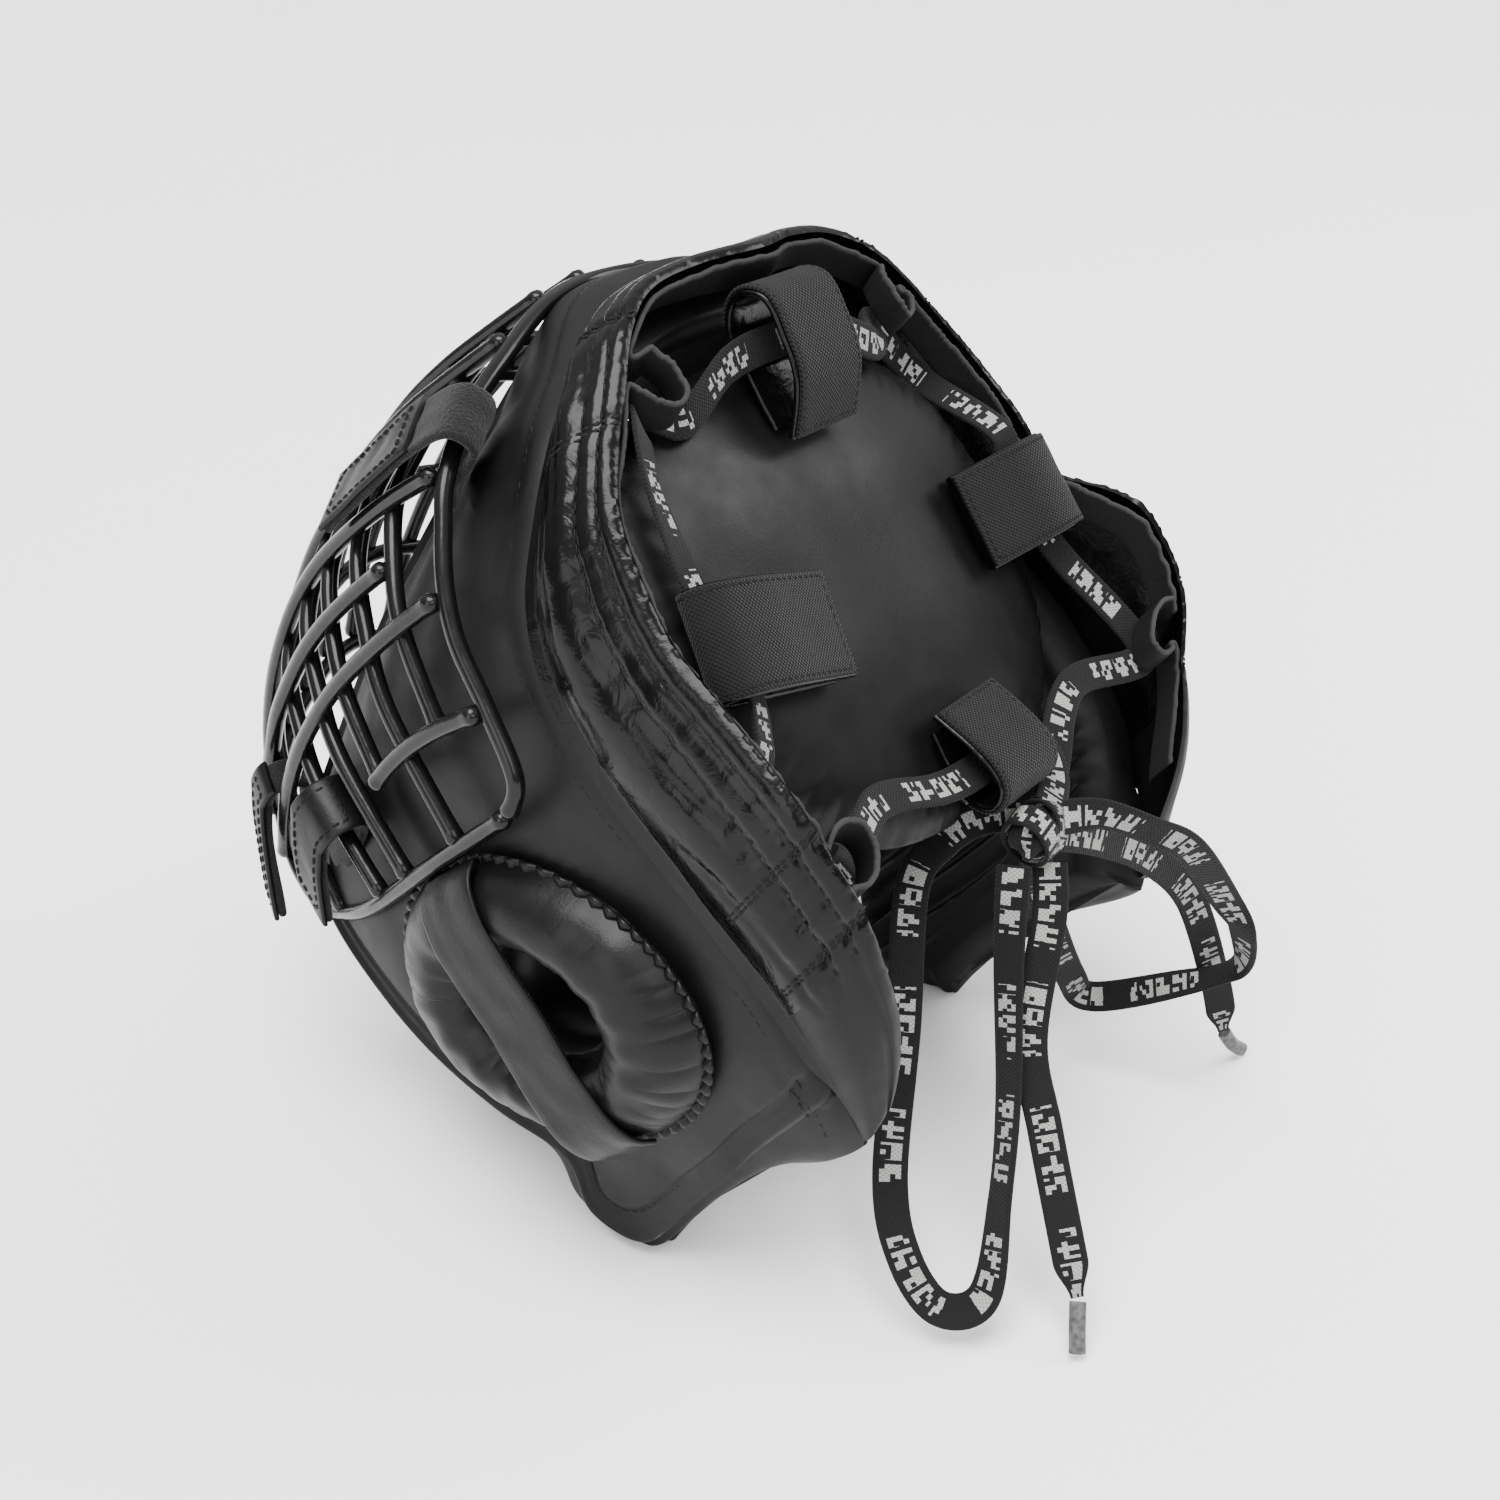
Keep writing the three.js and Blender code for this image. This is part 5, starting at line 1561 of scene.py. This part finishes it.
@dataclass
class EarRing:
    """Padded ring round an ear hole, gathered at both edges, with a strap across it."""

    side: Side
    columns: int = 720
    forward: float = -12.0
    up: float = -9.0
    long: float = 50.0
    short: float = 39.0
    turn: float = math.radians(-50)
    height: float = 12.0
    inner: float = 0.44
    gathers: int = 34
    gather_depth: float = 0.19
    strap_angle: float = math.radians(15)
    strap_width: float = 22.0
    profile: Array = field(default_factory=lambda: np.array([
        # share of the way out, share of the height
        (0.0, 0.02), (0.05, 0.6), (0.32, 1.0), (0.62, 0.9), (0.84, 0.6), (0.97, 0.22), (1.0, 0.03),
    ]))
    strap_path: Array = field(default_factory=lambda: np.array([
        # along, out
        (-43, 1.6), (-40, 6.4), (-34, 10.4), (-26, 12), (-13, 13), (0, 13), (14, 14.2), (24, 14.5), (32, 13.2),
        (37, 10.6), (40, 6.6),
    ]))

    def place(self, reach: Array | float, angle: Array) -> Array:
        """A place on the ear's oval seen from the side, (forward, up), by reach and angle."""
        long, short = self.long * reach * np.cos(angle), self.short * reach * np.sin(angle)
        return np.stack([
            self.forward + long * math.cos(self.turn) - short * math.sin(self.turn),
            self.up + long * math.sin(self.turn) + short * math.cos(self.turn),
        ], -1)

    def surface(self, share: Array, angle: Array, proud: Array) -> Array:
        """A point over the cover as it stands.

        Args:
            share: share of the way out over the ring.
            angle: angle round the ear.
            proud: height over the cover.

        Returns:
            Points in the frame of the solids.
        """
        place = self.place(self.inner + (1 - self.inner) * share, angle)
        point = FORM.beside(place[..., 0], place[..., 1], proud)
        return stand(point * np.array([self.side.value, 1.0, 1.0]))

    def dome(self, angle: Array, share: Array) -> Array:
        """Height of the ring: a soft dome, drawn in along gathers that die out at its crest.

        Args:
            angle: angle round the ear.
            share: share of the way out over the ring.

        Returns:
            Heights in millimetres.
        """
        shape = smooth_path(self.profile, 400)
        base = np.interp(share, shape[:, 0], shape[:, 1])
        wander = angle + 0.05 * ripple(angle * 1.3, share * 0.4, 71)
        fold = np.abs(np.sin(wander * self.gathers / 2 + 0.5 * ripple(angle * 2.0, share * 0.3, 72))) ** 0.7
        near_edge = np.clip(np.abs(share - 0.42) / 0.5, 0, 1) ** 2.4
        patchy = np.clip(0.55 + 0.6 * ripple(angle * 0.45, share * 0.2, 75), 0.1, 1.2)
        drawn = self.gather_depth * patchy * near_edge * (1 - fold)
        return self.height * base * (1 - drawn) + 0.25 * ripple(angle * 2.5, share * 1.5, 73)

    def strap(self) -> EdgeStrap:
        """The strap over the ring, from seam to seam."""
        origin = FORM.beside(np.array(self.forward), np.array(self.up)) * np.array([self.side.value, 1, 1])
        along = np.array([0.0, math.cos(self.strap_angle), math.sin(self.strap_angle)])
        return EdgeStrap(self.strap_path, origin, along, np.array([self.side.value, 0.0, 0.0]))

    def build(self, finishes: Finishes) -> None:
        """Makes the ring, its ruffled seam and the strap.

        Args:
            finishes: the materials.
        """
        angle = round_angles(self.columns)
        shares = smooth_path(np.array([[0.0], [0.01], [0.06], [0.3], [0.6], [0.9], [0.985], [1.0]]), 44)[:, 0]
        turn, share = np.meshgrid(angle, shares, indexing="ij")
        seat, sewn = SEAT_GAP + 0.3, np.full(self.columns, 0.985)
        proud = seat + self.dome(angle[:, None], shares[None])
        foot = self.surface(np.linspace(0.96, 0.04, 8)[None], angle[:, None], np.full((self.columns, 8), seat))
        work = Patchwork()
        work.add(np.concatenate([self.surface(share, turn, proud), foot], 1), joined=True)
        ruffle = np.sin(angle * 62 + 1.5 * np.sin(angle * 5))
        line = self.surface(sewn + 0.012 * ruffle, angle, 2.4 + 0.6 * ruffle)
        above = self.surface(sewn, angle, np.full(self.columns, 12.0))
        work.sweep(line, flat_section(3.4, 1.5, 4), unit(above - line), joined=True)
        ring = work.build(f"ear_ring_{self.side.word}_cover", finishes.strap)
        put(ring, "shell_leather", f"ear_ring_{self.side.word}")
        sewing = Patchwork()
        grid, across = self.strap().band(self.strap_width, 1.5, steps=80, wave=0.12, seed=74)
        sewing.add(grid, across=across)
        strap = sewing.build(f"ear_strap_{self.side.word}_leather", finishes.strap)
        put(strap, "strap_leather", f"ear_strap_{self.side.word}")


@dataclass
class FaceGrille:
    """Wire grille: rim wires, cross wires between them, and uprights laid over the cross wires."""

    radius: float = 2.3
    layer: float = 2.4
    drop: float = 0.12
    middle: tuple[float, float] = (76.5, -93.0)
    brow: Array = field(default_factory=lambda: np.array([
        # plan, up
        (0.0, 77), (1.2, 80), (2.4, 79), (3.4, 75), (4.3, 70), (4.9, 65), (5.54, 59), (6.04, 54), (6.45, 50),
        (6.85, 44), (7.0, 34),
    ]))
    jaw: Array = field(default_factory=lambda: np.array([
        # plan, up
        (0.0, -93), (1.8, -93), (3.6, -92), (5.0, -90), (5.7, -88), (6.1, -82), (6.3, -70), (6.5, -48), (6.7, -9),
        (6.82, 12), (7.0, 34),
    ]))
    cross: Array = field(default_factory=lambda: np.array([
        # middle up, end up, end plan
        (59, 31, 6.33), (38, 11, 6.81), (18, -2, 6.22), (-3, -18, 6.65), (-28, -36, 6.56), (-60, -68, 6.32),
    ]))
    upright: Array = field(default_factory=lambda: np.array([
        # top plan, top up, bottom plan, bottom up
        (6.45, 49.5, 6.22, -2), (5.65, 57.5, 5.17, -90), (4.85, 43, 4.43, -91), (4.25, 69.5, 3.5, -92),
        (3.1, 75.5, 2.6, -92), (2.05, 78.5, 1.75, -93), (1.0, 78.5, 0.85, -93),
    ]))

    def wire(self, work: Patchwork, points: Array, steps: int) -> None:
        """Adds a round wire, its free ends rounded like drops.

        Args:
            work: the piece that it is added to.
            points: points of the wearer's axes that it goes through.
            steps: points along it.
        """
        path = stand(smooth_path(points, steps))
        length = run_length(path)
        end = np.minimum(length, length[-1] - length)
        swell = np.sqrt(np.clip(1 - np.clip(1 - end / self.radius, 0, 1) ** 2, 0.02, 1))
        swell = swell * (1 + self.drop * ridge(end - 2.2, 2.2))
        angle = round_angles(14)
        outline = self.radius * np.stack([np.cos(angle), np.sin(angle)], -1)
        centre = stand(np.array([0.0, 20.0, 0.0]))
        work.sweep(path, outline, unit(path - centre), swell=swell)

    def both(self, plan: Array, up: Array) -> Array:
        """Points from the right end round the front to the left end, from the left half's plan and height."""
        return GRILLE.point(np.concatenate([-plan[:0:-1], plan]), np.concatenate([up[:0:-1], up]))

    def build(self, finishes: Finishes) -> None:
        """Makes all the wires as one piece.

        Args:
            finishes: the materials.
        """
        work = Patchwork()
        for rim in (self.brow, self.jaw):
            self.wire(work, self.both(rim[:, 0], rim[:, 1]), 260)
        share = np.linspace(0, 1, 9)
        for middle_up, end_up, end_plan in self.cross:
            self.wire(work, self.both(end_plan * share, middle_up + (end_up - middle_up) * share**2), 180)
        top, bottom = self.middle
        self.wire(work, GRILLE.point(0 * share, top + (bottom - top) * share, self.layer), 90)
        for top_plan, top_up, bottom_plan, bottom_up in self.upright:
            plan = bottom_plan + (top_plan - bottom_plan) * (1 - share) ** 2
            up = top_up + (bottom_up - top_up) * share
            for side in Side:
                self.wire(work, GRILLE.point(side.value * plan, up, self.layer), 90)
        put(work.build("grille_wires", finishes.wire), "coated_wire", "face_grille")


@dataclass
class GrilleStrap:
    """Strap that grips a grille wire: loop tape round the wire, and a sewn leather patch on its outer layer.

    Plan and up give the place on the grille; length and width are the outer layer's; slack is room at the wire; the
    root lies root_along down the strap and root_in inside the wire.
    """

    name: str
    side: Side
    plan: float
    up: float
    skew: float
    length: float
    width: float
    slack: float
    root_along: float
    root_in: float

    def strap(self) -> EdgeStrap:
        """The strap's edge view, from its root past the wire, round it and back over the outside."""
        sign, plan, up, slack = self.side.value, self.plan, self.up, self.slack
        place, after, before, below, above = GRILLE.point(
            sign * np.array([plan, plan + 0.2, plan - 0.2, plan, plan]), np.array([up, up, up, up - 2, up + 2]))
        down = unit(below - above)
        out = unit(np.cross(after - before, down)) * sign
        if np.dot(out, place * np.array([1.0, 1.0, 0.0])) < 0:
            out = -out
        path = [
            (self.root_along, -self.root_in), (self.root_along * 0.55, -6), (3 - slack, -5.2), (-3.2 - slack, -3.2),
            (-4.6 - slack, 1.2), (-2 - slack, 5.4), (5, 7.4), (self.length * 0.55, 7.6), (self.length, 7.2),
        ]
        return EdgeStrap(np.array(path), place, down, out, sign * self.skew)

    def build(self, finishes: Finishes) -> None:
        """Makes the loop tape, the leather patch and its sewing.

        Args:
            finishes: the materials.
        """
        strap = self.strap()
        work = Patchwork()
        grid, across = strap.band(self.width, 2.4, steps=90, wave=0.2, seed=81)
        work.add(grid, across=across, look=0)
        grid, across = strap.band(self.width + 1.4, 1.5, 0.5, 1.0, offset=1.75, steps=60, wave=0.1, seed=82)
        work.add(grid, across=across, look=1)
        points, normals = strap.frame(self.width / 2 - 2.0, 0.56, 0.965, 2.5)
        work.sew(points, normals, 2.8, 2.1, 0.48, 0.0, look=2)
        node = f"grille_strap_{self.name}_{self.side.word}"
        piece = work.build(f"{node}_tape", finishes.loop, finishes.strap, finishes.thread)
        put(piece, "hook_loop_tape", node)


@dataclass
class ChinStrap:
    """Plain chin strap from one cheek's lining under the chin to the other, flat where it stands.

    Back is its distance back of the ears, and rising its left half's course, (across, up from the floor).
    """

    width: float = 24.0
    thickness: float = 2.7
    back: float = -59.0
    rising: tuple[tuple[float, float], ...] = ((20, 0), (42, 6), (58, 22), (64, 42), (65.5, 60))

    def build(self, finishes: Finishes) -> None:
        """Makes the strap and its two sewn rows.

        Args:
            finishes: the materials.
        """
        half = smooth_path(np.array(self.rising), 50)
        edge = np.concatenate([half[::-1] * np.array([-1.0, 1.0]), half])
        edge[:, 1] += self.thickness / 2
        path = np.stack([edge[:, 0], np.full(len(edge), FOOTPRINT_SHIFT + self.back), edge[:, 1]], -1)
        work = Patchwork()
        ahead = unit(np.gradient(path, axis=0))
        out = np.cross(np.array([0.0, 1.0, 0.0]), ahead)
        work.sweep(path, flat_section(self.width, self.thickness), out)
        low = min(float(p[:, 2].min()) for p in work.points)
        for p in work.points:
            p[:, 2] -= low
        for shift in (-1, 1):
            line = path + np.array([0.0, shift * (self.width / 2 - 3), 0.0]) - out * (self.thickness / 2)
            line[:, 2] -= low
            work.sew(line, -out, 3.2, 2.5, 0.35, look=1)
        put(work.build("chin_strap_leather", finishes.strap, finishes.thread), "strap_leather", "chin_strap")


@dataclass
class Lace:
    """Flat woven lace: the ring through the loops and tabs, the knot, the bow and the free ends with their tips."""

    width: float = 9.2
    thickness: float = 1.2
    knot: tuple[float, float, float] = (2.0, 88.0, 114.5)
    routes: dict[str, Array] = field(default_factory=lambda: {
        # across, back of the ears, up from the floor, turn of the flat face in degrees
        "bow_loop_left": np.array([
            (-3.1, 81.2, 116, 0), (4, 72.5, 114.5, 0), (13, 67.5, 110, 20), (24, 65.5, 101, 10), (41, 74.6, 70, 0),
            (60, 83.9, 38.5, 5), (66.7, 93.3, 21.9, 10), (66.5, 104, 11.5, -10), (59, 112.3, 14.7, -35),
            (45.8, 108, 34.4, -60), (33.2, 101.9, 55.3, -55), (19, 92, 86, -40), (10.1, 87, 108.2, -20),
        ]),
        "bow_loop_right": np.array([
            (-2.5, 93.8, 119, 0), (-10, 101, 118.8, 30), (-21.1, 109.6, 112.2, 40), (-32.9, 116.3, 103.1, 30),
            (-53.7, 119.7, 78.8, 40), (-61.3, 123, 65.8, 60), (-72.4, 118.2, 46.4, 70), (-69, 102, 36, 40),
            (-64, 78, 25, 10), (-52.4, 75.6, 37.9, 0), (-27.3, 78.2, 73.7, 0), (-16, 80.5, 92, 0),
            (-7.5, 83.5, 107, 0),
        ]),
        "lace_end_left": np.array([
            (2, 93, 107.5, 20), (8, 97, 95, 15), (22.7, 101.5, 67.6, 5), (30.6, 111.6, 48.6, 0),
            (41.4, 126.7, 21.3, 0), (44.5, 131, 13.4, 0),
        ]),
        "lace_end_right": np.array([
            (-5.8, 90.7, 111.8, 0), (-25.3, 95, 102.1, 0), (-45.8, 100.5, 88.5, 0), (-64.5, 105.5, 68.5, 0),
            (-79.9, 109.8, 34.8, 0), (-86.1, 112, 14.1, 0),
        ]),
    })
    tips: dict[str, Array] = field(default_factory=lambda: {
        # across, back of the ears, up from the floor
        "lace_tip_left": np.array([(44.8, 131.4, 12.6), (48.5, 133.6, 7.5), (51.1, 135.4, 2.3)]),
        "lace_tip_right": np.array([(-86.5, 112.2, 13.2), (-91, 113.6, 7), (-96.5, 115, 2.3)]),
    })

    def shift(self, points: Array) -> Array:
        """Points given back of the ears, moved into the frame."""
        return points + np.array([0.0, FOOTPRINT_SHIFT, 0.0])

    def hints(self, path: Array, turn: Array) -> Array:
        """Face directions along a route: towards the camera, turned about the route.

        Args:
            path: the route's points.
            turn: angle at each point, in degrees.

        Returns:
            One direction for each point.
        """
        ahead = unit(np.gradient(path, axis=0))
        face = np.broadcast_to(np.array(TO_CAMERA), path.shape)
        face = unit(face - ahead * np.einsum("ij,ij->i", face, ahead)[:, None])
        side = np.cross(ahead, face)
        angle = np.radians(turn)[:, None]
        return face * np.cos(angle) + side * np.sin(angle)

    def build_free(self, finishes: Finishes) -> None:
        """Makes the bow's loops, the free ends and their tips, each loop and end a cord of its own length.

        Args:
            finishes: the materials.
        """
        section = flat_section(self.width, self.thickness)
        for name, route in self.routes.items():
            line = smooth_path(route, 160)
            path = self.shift(line[:, :3])
            hint = self.hints(path, line[:, 3])
            length = run_length(path)
            narrow = 1 - 0.62 * step_up(1 - (length[-1] - length) / 9) if "end" in name else None
            work = Patchwork()
            work.sweep(path, section, hint, swell=narrow)
            piece = put(work.build(f"{name}_ribbon", finishes.lace), "lace", name)
        for name, route in self.tips.items():
            path = self.shift(smooth_path(route, 24))
            angle = round_angles(12)
            outline = np.stack([2.2 * np.cos(angle), 1.5 * np.sin(angle)], -1)
            work = Patchwork()
            work.sweep(path, outline, np.array(TO_CAMERA))
            put(work.build(f"{name}_film", finishes.tip), "lace_tip", name)

    def ring_points(self) -> Array:
        """The ring's course: from the knot through the back tab, then under each loop and tab in turn."""

        def under(station: float, drop: float) -> Array:
            """A point below a loop of the strip."""
            return FORM.rim(np.array(station), 1.0, 12.0) - np.array([0.0, 0.0, drop])

        def beside(station: float) -> Array:
            """A point beside the wall, below the rim."""
            return FORM.rim(np.array(station), 1.0, 9.0) - np.array([0.0, 0.0, 15.0])

        p = PAD.point
        return np.array([
            (-6.3, -57, 70), p(-18.5, -69, 13), p(-22, -61, 12), p(-17, -55.8, 12.2), p(10, -55.5, 12),
            p(24, -54, 11), p(48, -48, 11), under(REAR_LOOP, 11), p(79, -29, 12.6), p(74.5, -20, 12.8),
            p(70, -9, 12.6), p(71.5, 9, 12.6), p(71.5, 20, 12.6), p(68, 33, 10.5), p(64.5, 45, 9.5), p(60, 56, 9.5),
            under(FRONT_LOOP, 14), p(42, 55, 7.5), p(22, 63, 11), p(0, 64.5, 11.6), p(-22, 63, 11), p(-42, 55, 7.5),
            under(-FRONT_LOOP, 14), beside(-5.2), p(-68, 20, 13), p(-66.5, 9, 12.4), p(-66.5, -9, 12.4),
            p(-68, -20, 13), under(-REAR_LOOP, 11), p(-48, -52, 11), p(-26, -66, 10), (-7.6, -61.5, 63.4),
        ])

    def build_ring(self, finishes: Finishes) -> None:
        """Makes the ring, lying flat with its face out of the crown and tipped in a little.

        Args:
            finishes: the materials.
        """
        path = smooth_path(self.ring_points(), 520)
        inward = unit((PAD.point(0, 0, 0) - path) * np.array([1.0, 1.0, 0.0]))
        face = unit(PAD.out + 0.35 * inward + 0.12 * ripple(run_length(path) / 90, np.zeros(1), 91)[:, None])
        work = Patchwork()
        work.sweep(stand(path), flat_section(self.width, self.thickness), stand_along(face))
        put(work.build("crown_lace_ribbon", finishes.lace), "lace", "crown_lace")

    def build_knot(self, finishes: Finishes) -> None:
        """Makes the knot: lace wrapped twice round a crumpled core.

        Args:
            finishes: the materials.
        """
        centre = self.shift(np.array(self.knot))
        work = Patchwork()
        polar = np.linspace(0.06, np.pi - 0.06, 30)[:, None]
        angle = round_angles(48)[None]
        size = 1 + 0.09 * np.sin(angle * 4 + polar * 3) + 0.06 * ripple(angle * 0.8, polar * 0.8, 95)
        core = np.stack([
            7.4 * np.sin(polar) * np.cos(angle) * size, 5.6 * np.sin(polar) * np.sin(angle) * size,
            6.4 * np.cos(polar) * size,
        ], -1)
        work.add(centre + core)
        turn = round_angles(90)
        for tilt, reach, slip in ((0.35, 7.6, 2.0), (-0.5, 7.2, -2.6)):
            wide = reach * np.sin(turn)
            ring = np.stack([slip + wide * math.sin(tilt), 6.4 * np.cos(turn), wide * math.cos(tilt)], -1)
            out = unit(ring - np.array([slip, 0, 0]))
            work.sweep(centre + ring, flat_section(7.0, self.thickness), out, joined=True)
        put(work.build("lace_knot_wraps", finishes.lace), "lace", "lace_knot")


@dataclass
class Studio:
    """Pale floor, soft light and the camera at the photograph's angle.

    Lamps are given by name, place in metres, width in metres and power in watts.
    """

    camera_mm: tuple[float, float, float] = (408.3, 293.6, 364.2)
    right: tuple[float, float, float] = (-0.5888, 0.8083, 0.0)
    upward: tuple[float, float, float] = (-0.3628, -0.2643, 0.8936)
    lens_mm: float = 48.0
    sensor_mm: float = 36.0
    horizon: float = 0.25
    zenith: float = 1.3
    key_at: tuple[float, float, float] = (0.55, 0.1, 1.8)
    key_power: float = 7.0
    key_spread: float = 42.0
    lamps: tuple[tuple[str, tuple[float, float, float], float, float], ...] = (
        ("left_fill", (1.6, 0.15, 0.6), 1.0, 14.0),
        ("crown_sheen", (-1.05, 0.95, 1.3), 0.9, 24.0),
        ("rear_fill", (0.9, 1.3, 1.0), 0.8, 11.0),
    )
    target: tuple[float, float, float] = (0.0, 0.02, 0.1)
    floor_half: float = 9.0
    floor_colour: Colour = (0.86, 0.86, 0.87)

    def build_camera(self) -> None:
        """Sets the camera by its axes."""
        data = bpy.data.cameras.new("view")
        data.lens, data.sensor_width, data.sensor_fit = self.lens_mm, self.sensor_mm, "HORIZONTAL"
        data.clip_start, data.clip_end = 0.01, 100.0
        camera = bpy.data.objects.new("view", data)
        bpy.context.scene.collection.objects.link(camera)
        matrix = np.eye(4)
        matrix[:3, 0], matrix[:3, 1], matrix[:3, 2] = self.right, self.upward, TO_CAMERA
        matrix[:3, 3] = (np.array(self.camera_mm) + np.array([0, FOOTPRINT_SHIFT, 0])) * METRES
        camera.matrix_world = Matrix(matrix.tolist())
        bpy.context.scene.camera = camera

    def hang(self, light: bpy.types.Light, at: tuple[float, float, float]) -> None:
        """Hangs a light at a place and turns it to the headgear.

        Args:
            light: the light.
            at: its place in metres.
        """
        lamp = bpy.data.objects.new(light.name, light)
        bpy.context.scene.collection.objects.link(lamp)
        z = unit(np.array(at) - np.array(self.target))
        x = unit(np.cross(np.array([0.0, 0.0, 1.0]), z))
        matrix = np.eye(4)
        matrix[:3, 0], matrix[:3, 1], matrix[:3, 2], matrix[:3, 3] = x, np.cross(z, x), z, at
        lamp.matrix_world = Matrix(matrix.tolist())

    def build_light(self) -> None:
        """Lights the scene: a sky bright overhead, a broad soft key, two fills and a sheen on the crown."""
        world = bpy.data.worlds.new("studio")
        world.use_nodes = True
        nodes, links = world.node_tree.nodes, world.node_tree.links
        height = nodes.new("ShaderNodeSeparateXYZ")
        links.new(nodes.new("ShaderNodeTexCoord").outputs["Generated"], height.inputs[0])
        sky = nodes.new("ShaderNodeMapRange")
        sky.interpolation_type = "SMOOTHSTEP"
        for name, value in (("From Min", 0.0), ("From Max", 0.8), ("To Min", self.horizon), ("To Max", self.zenith)):
            sky.inputs[name].default_value = value
        links.new(height.outputs["Z"], sky.inputs[0])
        links.new(sky.outputs[0], nodes["Background"].inputs["Strength"])
        nodes["Background"].inputs["Color"].default_value = (1.0, 1.0, 1.0, 1.0)
        bpy.context.scene.world = world
        sun = bpy.data.lights.new("soft_key", "SUN")
        sun.energy, sun.angle = self.key_power, math.radians(self.key_spread)
        self.hang(sun, self.key_at)
        for name, at, size, power in self.lamps:
            light = bpy.data.lights.new(name, "AREA")
            light.shape, light.size, light.energy = "SQUARE", size, power
            self.hang(light, at)

    def build_floor(self) -> None:
        """Lays the floor."""
        mesh = bpy.data.meshes.new("floor")
        half = self.floor_half
        mesh.from_pydata([(-half, -half, 0), (half, -half, 0), (half, half, 0), (-half, half, 0)], [], [(0, 1, 2, 3)])
        mesh.materials.append(PlainFinish("floor_paper", self.floor_colour, 0.9, 400.0, 0.01, 0.0).material())
        floor = bpy.data.objects.new("floor", mesh)
        bpy.context.scene.collection.objects.link(floor)


# Name, start, rest, fold, lift, curl, left, ahead and turn of each tab
TABS = (
    CrownTab("front", 44, 6.1, 76, 7, 1.0, 0, 1),
    CrownTab("left", 36, 7.2, 78, 0, 0.0, 1, 0, 12),
    CrownTab("right", 42, 6.9, 74, 4, 0.6, -1, 0),
    CrownTab("back", 42, 6.4, 64, 3, 0.8, 0, -1),
)


def grille_straps() -> list[GrilleStrap]:
    """The three grille straps of each side."""
    return [
        GrilleStrap(name, side, *sizes)
        for side in Side
        for name, sizes in (
            # plan, up, skew, length, width, slack, root along, root in
            ("brow", (3.66, 73.5, 0.0, 46, 19, 3.2, 13, 9.5)),
            ("cheek", (6.0, -35, 0.6, 20, 15, 3, 28, 6.7)),
            ("jaw", (4.87, -65, 0.76, 28, 9.5, 3, 20, 8.5)),
        )
    ]


def main() -> None:
    """Builds the camera, the cords and then every piece."""
    logging.basicConfig(level=logging.INFO)
    for leftover in list(bpy.data.objects):
        if leftover.name in ("Cube", "Light", "Camera"):
            bpy.data.objects.remove(leftover)
    studio = Studio()
    studio.build_camera()
    finishes = Finishes()
    lace = Lace()
    lace.build_free(finishes)
    lace.build_knot(finishes)
    lace.build_ring(finishes)
    PaddedShell().build(finishes)
    CrownBand().build(finishes)
    LaceStrip().build(finishes)
    CrownPad().build(finishes)
    for tab in TABS:
        tab.build(finishes)
    for side in Side:
        EarRing(side).build(finishes)
    FaceGrille().build(finishes)
    for strap in grille_straps():
        strap.build(finishes)
    ChinStrap().build(finishes)
    studio.build_light()
    studio.build_floor()


if __name__ == "__main__":
    main()
